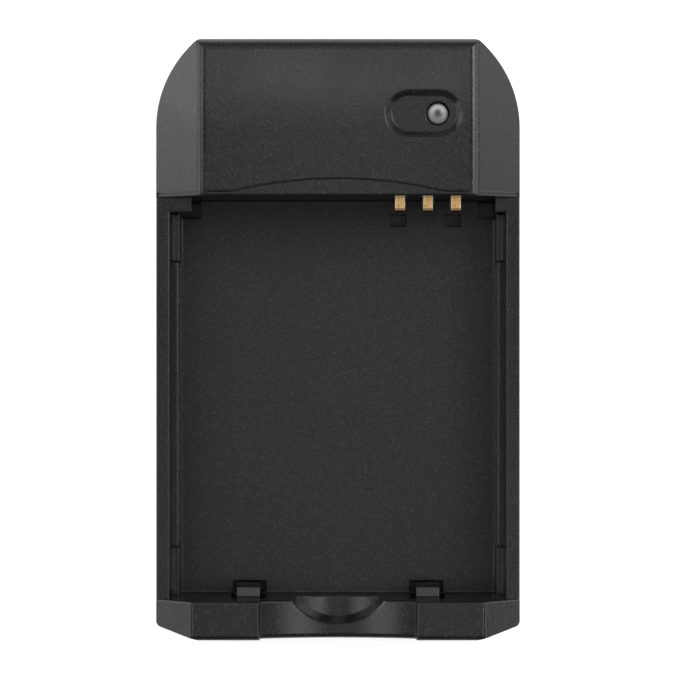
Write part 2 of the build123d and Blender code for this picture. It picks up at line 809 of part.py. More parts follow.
finish(contact_carrier, "contact_carrier")

# Leaf springs: a tail on the board, a long flat limb out through the wall, and a rounded nose
limb_level = contact_top - contact_thickness / 2
nose_y = bay_back - contact_reach + contact_thickness / 2
for contact_name, place in zip(contact_names, contact_places):
    with BuildPart() as contact_spring:
        with BuildSketch(Plane.YZ.offset(place)):
            with BuildLine():
                FilletPolyline(
                    (tail_y, board_top),
                    (tail_y, limb_level),
                    (nose_y, limb_level),
                    (nose_y + contact_nose_lean, limb_level - contact_nose_drop),
                    (bay_back + wall / 2, limb_level - contact_nose_drop - contact_nose_lean),
                    radius=contact_bend,
                )
            trace(line_width=contact_thickness)
        extrude(amount=contact_width / 2, both=True)
    finish(contact_spring, f"contact_spring_{contact_name}")

# Lamp: flange, barrel and dome, with its two leads down to the board
with BuildPart() as status_led:
    with BuildSketch(Plane((lamp_x, lamp_y, lamp_bottom), x_dir=(1, 0, 0), z_dir=(0, -1, 0))):
        with BuildLine():
            Polyline(
                (0, 0),
                (lamp_flange_diameter / 2, 0),
                (lamp_flange_diameter / 2, lamp_flange_height),
                (lamp_diameter / 2, lamp_flange_height),
                (lamp_diameter / 2, lamp_height - lamp_diameter / 2),
            )
            RadiusArc(
                (lamp_diameter / 2, lamp_height - lamp_diameter / 2),
                (0, lamp_height),
                -lamp_diameter / 2,
            )
            Line((0, lamp_height), (0, 0))
        make_face()
    revolve(axis=Axis((lamp_x, lamp_y, lamp_bottom), (0, 0, 1)))
    with BuildSketch(Plane.XY.offset(board_top)):
        for side_sign in (-1, 1):
            with Locations((lamp_x + side_sign * lamp_lead_pitch / 2, lamp_y)):
                Rectangle(lamp_lead_size, lamp_lead_size)
    extrude(amount=lamp_bottom - board_top)

finish(status_led, "status_led")

# Tube that holds the lamp at its height, with the leads inside
with BuildPart() as led_spacer:
    with BuildSketch(Plane.XY.offset(board_top)):
        with Locations((lamp_x, lamp_y)):
            Circle(lamp_flange_diameter / 2)
            Circle(lamp_lead_pitch / 2 + lamp_lead_size, mode=Mode.SUBTRACT)
    extrude(amount=lamp_bottom - board_top)

finish(led_spacer, "led_spacer")

# Power inlet: a folded sheet shell, an insulator with its tongue, and five contacts under the tongue
inlet_mouth = back - inlet_sunk
inlet_back = inlet_mouth - inlet_length
inlet_middle = board_top + inlet_height / 2
tongue_bottom = inlet_middle - inlet_tongue_thickness / 2
with BuildPart() as inlet_shell:
    with BuildSketch(Plane.XZ.offset(-inlet_back)) as shell_section:
        with Locations((inlet_x, inlet_middle)):
            Rectangle(inlet_width, inlet_height)
        chamfer(shell_section.vertices().group_by(Axis.Y)[0], inlet_corner)
        fillet(shell_section.vertices().group_by(Axis.Y)[-1], inlet_sheet)
        offset(amount=-inlet_sheet, kind=Kind.INTERSECTION, mode=Mode.SUBTRACT)
    extrude(amount=-inlet_length)

finish(inlet_shell, "inlet_shell")

with BuildPart() as inlet_tongue:
    with BuildSketch(Plane.XZ.offset(-inlet_back)):
        with Locations((inlet_x, tongue_bottom)):
            Rectangle(
                inlet_width - 2 * inlet_sheet - 2 * carrier_play,
                board_top + inlet_height - inlet_sheet - tongue_bottom,
                align=(Align.CENTER, Align.MIN),
            )
    extrude(amount=-inlet_block_length)
    with BuildSketch(Plane.XZ.offset(-inlet_back)):
        with Locations((inlet_x, tongue_bottom)):
            Rectangle(inlet_tongue_width, inlet_tongue_thickness, align=(Align.CENTER, Align.MIN))
    extrude(amount=-inlet_block_length - inlet_tongue_length)

finish(inlet_tongue, "inlet_tongue")

with BuildPart() as inlet_pins:
    with BuildSketch(Plane.XZ.offset(-inlet_back)):
        with Locations((inlet_x, tongue_bottom - inlet_pin_thickness / 2)):
            with GridLocations(inlet_pin_pitch, 1, inlet_pin_count, 1):
                Rectangle(inlet_pin_width, inlet_pin_thickness)
    extrude(amount=-inlet_block_length - inlet_tongue_length + inlet_pin_pitch)

finish(inlet_pins, "inlet_pins")


def package_with_legs(name, place, body, leg_count, leg_size):
    # A moulded package with bent legs along its two long sides.
    body_x, body_y, body_z = body
    leg_pitch, leg_width, leg_reach = leg_size
    stand = leg_thickness / 2
    with BuildPart() as component:
        with BuildSketch(Plane.XY.offset(board_top + stand)):
            with Locations(place):
                Rectangle(body_x, body_y)
        extrude(amount=body_z)
        chamfer(component.faces().sort_by(Axis.Z)[-1].edges(), leg_thickness)
        with BuildSketch(Plane.XY.offset(board_top)):
            with Locations(place):
                for side_sign in (-1, 1):
                    with Locations((0, side_sign * (body_y + leg_reach) / 2)):
                        with GridLocations(leg_pitch, 1, leg_count, 1):
                            Rectangle(leg_width, leg_reach)
        extrude(amount=leg_thickness)
        with BuildSketch(Plane.XY.offset(board_top)):
            with Locations(place):
                for side_sign in (-1, 1):
                    with Locations((0, side_sign * (body_y + leg_thickness) / 2)):
                        with GridLocations(leg_pitch, 1, leg_count, 1):
                            Rectangle(leg_width, leg_thickness)
        extrude(amount=body_z / 2)
    finish(component, name)


package_with_legs(
    "charge_controller", controller_place, controller_size, controller_leg_count, controller_leg_size
)
package_with_legs(
    "switching_transistor", transistor_place, transistor_size, transistor_leg_count, transistor_leg_size
)
package_with_legs("rectifier_diode", diode_place, diode_size, diode_leg_count, diode_leg_size)

# Moulded block capacitor, bevelled round its top
block_length, block_width, block_height = input_capacitor_size
with BuildPart() as input_capacitor:
    with BuildSketch(Plane.XY.offset(board_top)):
        with Locations(input_capacitor_place):
            Rectangle(block_length, block_width)
    extrude(amount=block_height)
    chamfer(input_capacitor.faces().sort_by(Axis.Z)[-1].edges(), edge_radius)

finish(input_capacitor, "input_capacitor")

# Coil: a square ferrite with a round winding window in its top
with BuildPart() as power_inductor:
    with BuildSketch(Plane.XY.offset(board_top)):
        with Locations(inductor_place):
            RectangleRounded(inductor_size, inductor_size, inductor_size / 6)
    extrude(amount=inductor_height)
    with BuildSketch(Plane.XY.offset(board_top + inductor_height)):
        with Locations(inductor_place):
            Circle(winding_outer_diameter / 2)
            Circle(winding_inner_diameter / 2, mode=Mode.SUBTRACT)
    extrude(amount=-winding_depth, mode=Mode.SUBTRACT)

finish(power_inductor, "power_inductor")

# Can capacitor on its square seat
with BuildPart() as output_capacitor:
    with BuildSketch(Plane.XY.offset(board_top)) as can_seat:
        with Locations(can_place):
            Rectangle(can_diameter, can_diameter)
        chamfer(can_seat.vertices().group_by(Axis.Y)[0], can_corner)
    extrude(amount=can_seat_height)
    with BuildSketch(Plane.XY.offset(board_top + can_seat_height)):
        with Locations(can_place):
            Circle(can_diameter / 2)
    extrude(amount=can_height)
    chamfer(output_capacitor.faces().sort_by(Axis.Z)[-1].edges(), edge_radius)

finish(output_capacitor, "output_capacitor")

for chip_name, chip_places, (chip_length, chip_width, chip_height) in (
    ("chip_resistors", resistor_places, resistor_size),
    ("chip_capacitors", chip_capacitor_places, chip_capacitor_size),
):
    with BuildPart() as chips:
        with BuildSketch(Plane.XY.offset(board_top)):
            with Locations(*chip_places):
                Rectangle(chip_length, chip_width)
        extrude(amount=chip_height)
    finish(chips, chip_name)
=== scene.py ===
import bmesh
import bpy
import math
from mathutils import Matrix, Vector


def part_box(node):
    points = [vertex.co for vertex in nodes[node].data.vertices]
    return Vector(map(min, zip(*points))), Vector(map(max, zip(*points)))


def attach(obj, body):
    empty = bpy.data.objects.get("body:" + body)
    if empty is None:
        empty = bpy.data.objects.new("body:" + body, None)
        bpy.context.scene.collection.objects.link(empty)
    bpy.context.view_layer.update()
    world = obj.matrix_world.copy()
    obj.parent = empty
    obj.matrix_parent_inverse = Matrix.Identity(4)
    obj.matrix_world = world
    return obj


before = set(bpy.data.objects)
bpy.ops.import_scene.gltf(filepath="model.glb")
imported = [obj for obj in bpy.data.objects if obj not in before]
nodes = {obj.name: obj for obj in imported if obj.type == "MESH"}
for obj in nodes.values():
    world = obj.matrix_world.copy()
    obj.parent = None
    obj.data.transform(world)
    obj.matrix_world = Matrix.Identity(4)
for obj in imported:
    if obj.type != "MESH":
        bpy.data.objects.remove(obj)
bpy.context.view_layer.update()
scene = bpy.context.scene
mm = 0.001  # Blender works in metres, the notes below in millimetres
justPastMm = 0.005  # a test between two finishes stands this far off the face where they meet
mostOfNoise = (0.3, 0.7)  # nearly all of a noise's heights lie between these
print("charger loaded:", len(nodes), "pieces")


# camera: straight above the cradle, a long lens
camera = {
    "heightMm": 410.0,  # above the top of the side walls
    "wallTopMm": 15.0,
    "acrossMm": 0.29,
    "alongMm": -0.07,
    "pixelMm": 0.143,  # what one pixel covers at the top of the side walls
    "imagePixels": 680,
    "sensorMm": 36.0,
    "seesMm": (10.0, 10000.0),  # nearest and farthest
}


def placeCamera(spec):
    data = bpy.data.cameras.new("chargerCamera")
    data.sensor_width = spec["sensorMm"]
    data.lens = spec["sensorMm"] * spec["heightMm"] / (spec["imagePixels"] * spec["pixelMm"])
    data.clip_start, data.clip_end = [reach * mm for reach in spec["seesMm"]]
    body = bpy.data.objects.new("chargerCamera", data)
    body.location = (
        spec["acrossMm"] * mm,
        spec["alongMm"] * mm,
        (spec["heightMm"] + spec["wallTopMm"]) * mm,
    )
    scene.collection.objects.link(body)
    scene.camera = body
    return data.lens


print("camera placed, lens", round(placeCamera(camera), 1), "mm")


# helpers for materials
def linearFromHex(code):
    # sRGB hex to the linear colour that the shaders take
    parts = [int(code[i:i + 2], 16) / 255 for i in (1, 3, 5)]
    return [c / 12.92 if c <= 0.04045 else ((c + 0.055) / 1.055) ** 2.4 for c in parts] + [1.0]


def addNode(tree, kind, settings=None, values=None, links=None):
    # one node with its settings, its socket values and its links from (node, output)
    node = tree.nodes.new(kind)
    for name, value in (settings or {}).items():
        setattr(node, name, value)
    for socket, value in (values or {}).items():
        node.inputs[socket].default_value = value
    for socket, (source, output) in (links or {}).items():
        tree.links.new(source.outputs[output], node.inputs[socket])
    return node


def startMaterial(name):
    # an emptied material, its node tree and the node that tells the place on the piece
    material = bpy.data.materials.new(name)
    material.use_nodes = True
    tree = material.node_tree
    tree.nodes.clear()
    return material, tree, addNode(tree, "ShaderNodeTexCoord")


def dress(material, *names):
    for name in names:
        slots = nodes[name].data.materials
        slots.clear()
        slots.append(material)


def ramp(across, start=0.0, end=1.0):
    # a map range's values, from start to end between the two inputs in across
    return {"From Min": across[0], "From Max": across[1], "To Min": start, "To Max": end}


def rampMm(acrossMm, start=0.0, end=1.0):
    return ramp([size * mm for size in acrossMm], start, end)


def middleOf(name):
    low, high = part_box(name)
    return [(a + b) / 2 for a, b in zip(low, high)]


def whereAllHold(tree, limits):
    # 1 where every test of (operation, source, limit in millimetres) holds, 0 elsewhere
    held = None
    for operation, source, limit in limits:
        test = addNode(
            tree, "ShaderNodeMath",
            settings={"operation": operation}, values={1: limit * mm}, links={0: source},
        )
        if held:
            test = addNode(
                tree, "ShaderNodeMath",
                settings={"operation": "MULTIPLY"}, links={0: (held, "Value"), 1: (test, "Value")},
            )
        held = test
    return held


def stretchedNoise(tree, place, runsMm, values):
    # noise whose grains have their own length along each axis, as lines and fibres do
    stretched = addNode(
        tree, "ShaderNodeVectorMath",
        settings={"operation": "MULTIPLY"},
        values={1: [1 / (run * mm) for run in runsMm]},
        links={0: (place, "Object")},
    )
    return addNode(
        tree, "ShaderNodeTexNoise",
        values=dict(values, Scale=1.0),
        links={"Vector": (stretched, "Vector")},
    )


def aroundMiddle(tree, place, node):
    # the way out from the upright axis through a piece's middle, and its length
    offset = addNode(
        tree, "ShaderNodeVectorMath",
        settings={"operation": "SUBTRACT"},
        values={1: middleOf(node)},
        links={0: (place, "Object")},
    )
    outward = addNode(
        tree, "ShaderNodeVectorMath",
        settings={"operation": "MULTIPLY"},
        values={1: (1.0, 1.0, 0.0)},
        links={0: (offset, "Vector")},
    )
    radius = addNode(
        tree, "ShaderNodeVectorMath",
        settings={"operation": "LENGTH"}, links={0: (outward, "Vector")},
    )
    return outward, radius


def splitByPart(tree, isSecond, first, second):
    # one shader where the test is 0 and another where it is 1
    mix = addNode(
        tree, "ShaderNodeMixShader",
        links={0: (isSecond, "Value"), 1: (first, "BSDF"), 2: (second, "BSDF")},
    )
    addNode(tree, "ShaderNodeOutputMaterial", links={"Surface": (mix, "Shader")})


# housing: ABS, injection moulded in a spark-eroded mould
# to the eye a satin black skin with a fine even grain, duller on the bay's floor
upperShell = {
    "colour": "#040405",
    "patchColour": "#080809",
    "roughness": (0.185, 0.235),  # least and most
    "edgeRoughness": 0.22,
    "trayRoughness": 0.52,  # the bay's floor left the mould duller than the skin round it
    "trayTopMm": 8.0,
    "trayHalfWidthMm": 22.6,
    "trayAlongMm": (-37.2, 20.4),
    "grainMm": 0.34,  # the real grain is near 0.15 mm, drawn coarser so that it shows
    "grainDepthMm": 0.016,
    "pitMm": 0.8,
    "pitDepthMm": 0.004,
    "patchMm": 9.0,
    "edgeMm": 0.20,
    "recessEdgeMm": 0.36,
    "recessAtMm": (12.4, 31.9, 20.8),
    "recessReachMm": (6.3, 6.8),  # where its softer edges pass into the others
    # the paler specks are a painted highlight on the tops of the grain
    "speckHighlightColour": "#282829",
    "speckHighlightsAt": (0.50, 0.66),  # heights of the grain between which a speck comes up
    "edgeTurn": (0.995, 0.90),  # cosines between which a rounded edge takes over
    "ior": 1.54,
    # the slots' bottoms are painted lighter: painted light that lifts the shade falling in them
    "slotPaintedLightColour": "#4c4c4d",
    "slotTopMm": 4.8,
    # the crown's two shoulders turn gently over into the side facets
    "shoulderAcrossMm": (18.45, 20.15),
    "shoulderAngle": 43.6,
    "shoulderAlongMm": (20.6, 41.1),
    "shoulderAboveMm": 19.2,
    "crownFallMm": (28.5, 37.5),
    "crownFall": 0.08,
}
# the pan below has neither tray nor slots, so their tops are set under it
lowerShell = dict(
    upperShell,
    colour="#0c0c0d", roughness=(0.315, 0.365), grainDepthMm=0.010,
    trayTopMm=-1.0, slotTopMm=-1.0,
)


def makeSparkTexturedAbs(name, spec):
    material, tree, place = startMaterial(name)
    parts = addNode(tree, "ShaderNodeSeparateXYZ", links={"Vector": (place, "Object")})
    # a mould's edges are rounded by a fifth of a millimetre, the lamp recess's a little more
    fromRecess = addNode(
        tree, "ShaderNodeVectorMath",
        settings={"operation": "DISTANCE"},
        values={1: [size * mm for size in spec["recessAtMm"]]},
        links={0: (place, "Object")},
    )
    edgeRadius = addNode(
        tree, "ShaderNodeMapRange",
        values=rampMm(spec["recessReachMm"], spec["recessEdgeMm"] * mm, spec["edgeMm"] * mm),
        links={"Value": (fromRecess, "Value")},
    )
    softNormal = addNode(
        tree, "ShaderNodeBevel", settings={"samples": 6}, links={"Radius": (edgeRadius, "Result")},
    )
    grain = addNode(
        tree, "ShaderNodeTexNoise",
        values={"Scale": 1 / (spec["grainMm"] * mm), "Detail": 3.0, "Roughness": 0.6},
        links={"Vector": (place, "Object")},
    )
    pits = addNode(
        tree, "ShaderNodeTexVoronoi",
        settings={"feature": "SMOOTH_F1"},
        values={"Scale": 1 / (spec["pitMm"] * mm), "Smoothness": 0.4},
        links={"Vector": (place, "Object")},
    )
    fromMiddle = addNode(
        tree, "ShaderNodeMath", settings={"operation": "ABSOLUTE"}, links={0: (parts, "X")},
    )
    whichSide = addNode(
        tree, "ShaderNodeMath", settings={"operation": "SIGN"}, links={0: (parts, "X")},
    )
    # the shoulders' normal leans out on the way to the side, and back where the crown falls
    lean = addNode(
        tree, "ShaderNodeMapRange",
        settings={"interpolation_type": "SMOOTHSTEP"},
        values=rampMm(spec["shoulderAcrossMm"], 0.0, math.radians(spec["shoulderAngle"])),
        links={"Value": (fromMiddle, "Value")},
    )
    leanOut = addNode(
        tree, "ShaderNodeMath", settings={"operation": "SINE"}, links={0: (lean, "Result")},
    )
    leanUp = addNode(
        tree, "ShaderNodeMath", settings={"operation": "COSINE"}, links={0: (lean, "Result")},
    )
    leanAcross = addNode(
        tree, "ShaderNodeMath",
        settings={"operation": "MULTIPLY"}, links={0: (leanOut, "Value"), 1: (whichSide, "Value")},
    )
    fall = addNode(
        tree, "ShaderNodeMapRange",
        settings={"interpolation_type": "SMOOTHSTEP"},
        values=rampMm(spec["crownFallMm"], 0.0, spec["crownFall"]),
        links={"Value": (parts, "Y")},
    )
    shoulder = addNode(
        tree, "ShaderNodeCombineXYZ",
        links={"X": (leanAcross, "Value"), "Y": (fall, "Result"), "Z": (leanUp, "Value")},
    )
    # that holds on the shoulders only, not down the sides or on the back edge
    onShoulder = whereAllHold(tree, [
        ("GREATER_THAN", (fromMiddle, "Value"), spec["shoulderAcrossMm"][0]),
        ("LESS_THAN", (fromMiddle, "Value"), spec["shoulderAcrossMm"][1]),
        ("GREATER_THAN", (parts, "Y"), spec["shoulderAlongMm"][0]),
        ("LESS_THAN", (parts, "Y"), spec["shoulderAlongMm"][1]),
        ("GREATER_THAN", (parts, "Z"), spec["shoulderAboveMm"]),
    ])
    turnedNormal = addNode(
        tree, "ShaderNodeMix",
        settings={"data_type": "VECTOR"},
        links={0: (onShoulder, "Value"), 4: (softNormal, "Normal"), 5: (shoulder, "Vector")},
    )
    pitBump = addNode(
        tree, "ShaderNodeBump",
        values={"Strength": 1.0, "Distance": spec["pitDepthMm"] * mm},
        links={"Height": (pits, "Distance"), "Normal": (turnedNormal, 1)},
    )
    grainBump = addNode(
        tree, "ShaderNodeBump",
        values={"Strength": 1.0, "Distance": spec["grainDepthMm"] * mm},
        links={"Height": (grain, "Fac"), "Normal": (pitBump, "Normal")},
    )
    # broad patches, where the melt met the mould a little hotter or cooler
    patches = addNode(
        tree, "ShaderNodeTexNoise",
        values={"Scale": 1 / (spec["patchMm"] * mm), "Detail": 2.0},
        links={"Vector": (place, "Object")},
    )
    clouded = addNode(
        tree, "ShaderNodeMix",
        settings={"data_type": "RGBA"},
        values={6: linearFromHex(spec["colour"]), 7: linearFromHex(spec["patchColour"])},
        links={0: (patches, "Fac")},
    )
    # the tops of the grain are painted paler as fine specks: a painted highlight for the light they
    # catch
    speckHighlights = addNode(
        tree, "ShaderNodeMapRange", values=ramp(spec["speckHighlightsAt"]), links={"Value": (grain, "Fac")},
    )
    speckHighlighted = addNode(
        tree, "ShaderNodeMix",
        settings={"data_type": "RGBA"},
        values={7: linearFromHex(spec["speckHighlightColour"])},
        links={0: (speckHighlights, "Result"), 6: (clouded, 2)},
    )
    # edges, found where the softened normal leaves the true one, have a roughness of their own
    face = addNode(tree, "ShaderNodeNewGeometry")
    turn = addNode(
        tree, "ShaderNodeVectorMath",
        settings={"operation": "DOT_PRODUCT"},
        links={0: (softNormal, "Normal"), 1: (face, "Normal")},
    )
    faceRoughness = addNode(
        tree, "ShaderNodeMapRange",
        values=ramp(mostOfNoise, *spec["roughness"]),
        links={"Value": (patches, "Fac")},
    )
    # the bay's floor, low down and between the walls
    inBay = [
        ("LESS_THAN", (fromMiddle, "Value"), spec["trayHalfWidthMm"]),
        ("GREATER_THAN", (parts, "Y"), spec["trayAlongMm"][0]),
        ("LESS_THAN", (parts, "Y"), spec["trayAlongMm"][1]),
    ]
    isTray = whereAllHold(tree, inBay + [("LESS_THAN", (parts, "Z"), spec["trayTopMm"])])
    isPaintedLightSlot = whereAllHold(tree, inBay + [("LESS_THAN", (parts, "Z"), spec["slotTopMm"])])
    # painted light: the slots' bottoms take a lighter colour that lifts the shade falling in them
    colour = addNode(
        tree, "ShaderNodeMix",
        settings={"data_type": "RGBA"},
        values={7: linearFromHex(spec["slotPaintedLightColour"])},
        links={0: (isPaintedLightSlot, "Value"), 6: (speckHighlighted, 2)},
    )
    skinRoughness = addNode(
        tree, "ShaderNodeMix",
        settings={"data_type": "FLOAT"},
        values={3: spec["trayRoughness"]},
        links={0: (isTray, "Value"), 2: (faceRoughness, "Result")},
    )
    edge = addNode(
        tree, "ShaderNodeMapRange", values=ramp(spec["edgeTurn"]), links={"Value": (turn, "Value")},
    )
    roughness = addNode(
        tree, "ShaderNodeMix",
        settings={"data_type": "FLOAT"},
        values={3: spec["edgeRoughness"]},
        links={0: (edge, "Result"), 2: (skinRoughness, 0)},
    )
    shader = addNode(
        tree, "ShaderNodeBsdfPrincipled",
        values={"IOR": spec["ior"]},
        links={
            "Base Color": (colour, 2),
            "Roughness": (roughness, 0),
            "Normal": (grainBump, "Normal"),
        },
    )
    addNode(tree, "ShaderNodeOutputMaterial", links={"Surface": (shader, "BSDF")})
    return material


shellAbs = makeSparkTexturedAbs("sparkTexturedBlackAbs", upperShell)
dress(shellAbs, "top_case")
dress(makeSparkTexturedAbs("sparkTexturedBlackAbsBase", lowerShell), "bottom_case")
print("housing dressed")


# heads of the two catches in the bay's front wall
# a nearly level top that rounds over into a blunt nose
catchHeads = {
    "acrossMm": (-12.95, 12.95),
    "widthMm": 3.35,
    # the side profile, from the wall over the top and down the nose: along, up
    "topMm": [
        (-37.14, 11.62), (-36.5, 11.50), (-35.80, 11.36),
        (-35.64, 11.25), (-35.50, 11.02), (-35.42, 10.6),
    ],
    "noseMm": [(-35.34, 9.6), (-35.27, 8.7), (-35.33, 8.36), (-35.52, 8.16), (-35.9, 8.10)],
    "insideMm": [(-37.14, 10.5)],
    "roundingMm": 0.12,
    "roundedFromDegrees": 50,
    "roundingSteps": 3,
}


def makeCatchHead(name, spec, across):
    profile = spec["topMm"] + spec["noseMm"] + spec["insideMm"]
    shape = bmesh.new()
    sides = []
    for side in (-1, 1):
        x = across + side * spec["widthMm"] / 2
        sides.append([shape.verts.new((x * mm, y * mm, z * mm)) for y, z in profile])
    shape.faces.new(sides[0])
    shape.faces.new(list(reversed(sides[1])))
    for i in range(len(profile)):
        j = (i + 1) % len(profile)
        shape.faces.new((sides[0][j], sides[0][i], sides[1][i], sides[1][j]))
    bmesh.ops.recalc_face_normals(shape, faces=shape.faces)
    mesh = bpy.data.meshes.new(name)
    shape.to_mesh(mesh)
    shape.free()
    mesh.materials.append(shellAbs)
    head = bpy.data.objects.new(name, mesh)
    scene.collection.objects.link(head)
    rounding = head.modifiers.new("mouldRounding", "BEVEL")
    rounding.width = spec["roundingMm"] * mm
    rounding.segments = spec["roundingSteps"]
    rounding.limit_method = "ANGLE"
    rounding.angle_limit = math.radians(spec["roundedFromDegrees"])
    rounding.harden_normals = True
    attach(head, "root")


for side, across in zip(("Left", "Right"), catchHeads["acrossMm"]):
    makeCatchHead("catchHead" + side, catchHeads, across)
print("catches made")


# contacts: phosphor bronze strip, rolled, stamped and gold plated
# a warm pale gold with faint lines along the strip, deeper where the plating is thin
contactStrip = {
    "colour": "#ffcf90",
    "thinColour": "#e0a560",
    "roughness": (0.19, 0.35),
    "rollingLineMm": 0.05,
    "rollingRunMm": 3.0,
    "lineDepthMm": 0.0015,
    "patchMm": 0.7,
    "edgeMm": 0.06,
    # a small pip pressed in each strip; the pip and the nose end, where the bend turns down, are
    # painted darker brown as painted shade
    "pipAtMm": (8.62, 19.15),
    "pipPitchMm": 4.0,
    "pipMm": (0.078, 0.338),  # radii of its bottom and its brim
    "pipDepthMm": 0.012,
    "pipShade": 0.38,
    "pipOffMiddleMm": 0.28,
    "thinAt": (0.55, 0.80),
    "thinMost": 0.7,
    # a painted highlight along the strip's two edges
    "rimHighlightColour": "#ffeabf",
    "rimHighlightMm": (0.34, 0.58),  # off the strip's middle
    "rimHighlightMost": 0.8,
    "noseShadeColour": "#8c5526",
    "noseShadeAlongMm": (18.62, 18.36),
}
inletPins = dict(contactStrip, roughness=(0.14, 0.30), patchMm=0.4, noseShadeAlongMm=(-60.0, -61.0))


def makeGiltBronze(name, spec):
    material, tree, place = startMaterial(name)
    softNormal = addNode(
        tree, "ShaderNodeBevel", settings={"samples": 6}, values={"Radius": spec["edgeMm"] * mm},
    )
    runsMm = (spec["rollingLineMm"], spec["rollingRunMm"], spec["rollingRunMm"])
    lines = stretchedNoise(tree, place, runsMm, {"Detail": 2.0})
    bump = addNode(
        tree, "ShaderNodeBump",
        values={"Strength": 1.0, "Distance": spec["lineDepthMm"] * mm},
        links={"Height": (lines, "Fac"), "Normal": (softNormal, "Normal")},
    )
    patches = addNode(
        tree, "ShaderNodeTexNoise",
        values={"Scale": 1 / (spec["patchMm"] * mm), "Detail": 3.0, "Roughness": 0.6},
        links={"Vector": (place, "Object")},
    )
    thin = addNode(
        tree, "ShaderNodeMapRange",
        values=ramp(spec["thinAt"], 0.0, spec["thinMost"]),
        links={"Value": (patches, "Fac")},
    )
    plated = addNode(
        tree, "ShaderNodeMix",
        settings={"data_type": "RGBA"},
        values={6: linearFromHex(spec["colour"]), 7: linearFromHex(spec["thinColour"])},
        links={0: (thin, "Result")},
    )
    # how far a point is from the nearest pip, which repeats at the contacts' pitch
    parts = addNode(tree, "ShaderNodeSeparateXYZ", links={"Vector": (place, "Object")})
    fromFirst = addNode(
        tree, "ShaderNodeMath",
        settings={"operation": "SUBTRACT"},
        values={1: spec["pipAtMm"][0] * mm},
        links={0: (parts, "X")},
    )
    across = addNode(
        tree, "ShaderNodeMath",
        settings={"operation": "WRAP"},
        values={1: spec["pipPitchMm"] / 2 * mm, 2: -spec["pipPitchMm"] / 2 * mm},
        links={0: (fromFirst, "Value")},
    )
    upStrip = addNode(
        tree, "ShaderNodeMath",
        settings={"operation": "SUBTRACT"},
        values={1: spec["pipAtMm"][1] * mm},
        links={0: (parts, "Y")},
    )
    pipOffset = addNode(
        tree, "ShaderNodeCombineXYZ", links={"X": (across, "Value"), "Y": (upStrip, "Value")},
    )
    pipRadius = addNode(
        tree, "ShaderNodeVectorMath",
        settings={"operation": "LENGTH"}, links={0: (pipOffset, "Vector")},
    )
    pip = addNode(
        tree, "ShaderNodeMapRange",
        settings={"interpolation_type": "SMOOTHSTEP"},
        values=rampMm(spec["pipMm"], 1.0, 0.0),
        links={"Value": (pipRadius, "Value")},
    )
    pipBump = addNode(
        tree, "ShaderNodeBump",
        settings={"invert": True},
        values={"Strength": 1.0, "Distance": spec["pipDepthMm"] * mm},
        links={"Height": (pip, "Result"), "Normal": (bump, "Normal")},
    )
    # painted shade: darker brown where the bend at the nose turns away from the light, and partly
    # in the pip's hollow
    noseShade = addNode(
        tree, "ShaderNodeMapRange",
        settings={"interpolation_type": "SMOOTHSTEP"},
        values=rampMm(spec["noseShadeAlongMm"]),
        links={"Value": (parts, "Y")},
    )
    paintedShade = addNode(
        tree, "ShaderNodeMath",
        settings={"operation": "MULTIPLY_ADD", "use_clamp": True},
        values={1: spec["pipShade"]},
        links={0: (pip, "Result"), 2: (noseShade, "Result")},
    )
    # the strip's two edges are painted paler: a painted highlight where they catch the light
    fromStrip = addNode(
        tree, "ShaderNodeMath",
        settings={"operation": "SUBTRACT"},
        values={1: spec["pipOffMiddleMm"] * mm},
        links={0: (across, "Value")},
    )
    offStrip = addNode(
        tree, "ShaderNodeMath", settings={"operation": "ABSOLUTE"}, links={0: (fromStrip, "Value")},
    )
    rimHighlight = addNode(
        tree, "ShaderNodeMapRange",
        values=rampMm(spec["rimHighlightMm"], 0.0, spec["rimHighlightMost"]),
        links={"Value": (offStrip, "Value")},
    )
    rimHighlighted = addNode(
        tree, "ShaderNodeMix",
        settings={"data_type": "RGBA"},
        values={7: linearFromHex(spec["rimHighlightColour"])},
        links={0: (rimHighlight, "Result"), 6: (plated, 2)},
    )
    colour = addNode(
        tree, "ShaderNodeMix",
        settings={"data_type": "RGBA"},
        values={7: linearFromHex(spec["noseShadeColour"])},
        links={0: (paintedShade, "Value"), 6: (rimHighlighted, 2)},
    )
    roughness = addNode(
        tree, "ShaderNodeMapRange",
        values=ramp(mostOfNoise, *spec["roughness"]),
        links={"Value": (lines, "Fac")},
    )
    shader = addNode(
        tree, "ShaderNodeBsdfPrincipled",
        values={"Metallic": 1.0},
        links={
            "Base Color": (colour, 2), "Roughness": (roughness, "Result"),
            "Normal": (pipBump, "Normal"),
        },
    )
    addNode(tree, "ShaderNodeOutputMaterial", links={"Surface": (shader, "BSDF")})
    return material


dress(
    makeGiltBronze("giltPhosphorBronze", contactStrip),
    "contact_spring_left", "contact_spring_middle", "contact_spring_right",
)
dress(makeGiltBronze("giltInletPin", inletPins), "inlet_pins")
print("contacts dressed")


# lamp: clouded epoxy, cast round its leads
# a milky grey lens whose die cup shows as a darker spot in the middle, on two tinned leads
lampLens = {
    "colour": "#9c9c9a",
    "cupColour": "#404040",
    "cupMm": (0.075, 0.925),  # radii over which the dark spot fades out
    "crescentHighlightColour": "#cdcdcb",  # a painted highlight: the cup's wall painted bright on its back side, where the light falls
    "crescentHighlightMm": 0.85,
    "crescentHighlightAlongMm": (-0.15, 0.75),
    "crescentHighlightFadeMm": (0.10, 0.50),
    "roughness": 0.16,
    "haloMm": (0.8, 1.25),  # where the lens wall turns lighter
    "haloColour": "#ababa9",
    "leadColour": "#c4c3bf",
    "leadRoughness": 0.28,
    "lensHeightMm": 5.31,  # what lies lower is the leads
    "cloudShare": 0.25,
    "cloudDepthMm": 0.3,
    "rippleMm": 0.5,
    "rippleDepthMm": 0.002,
}


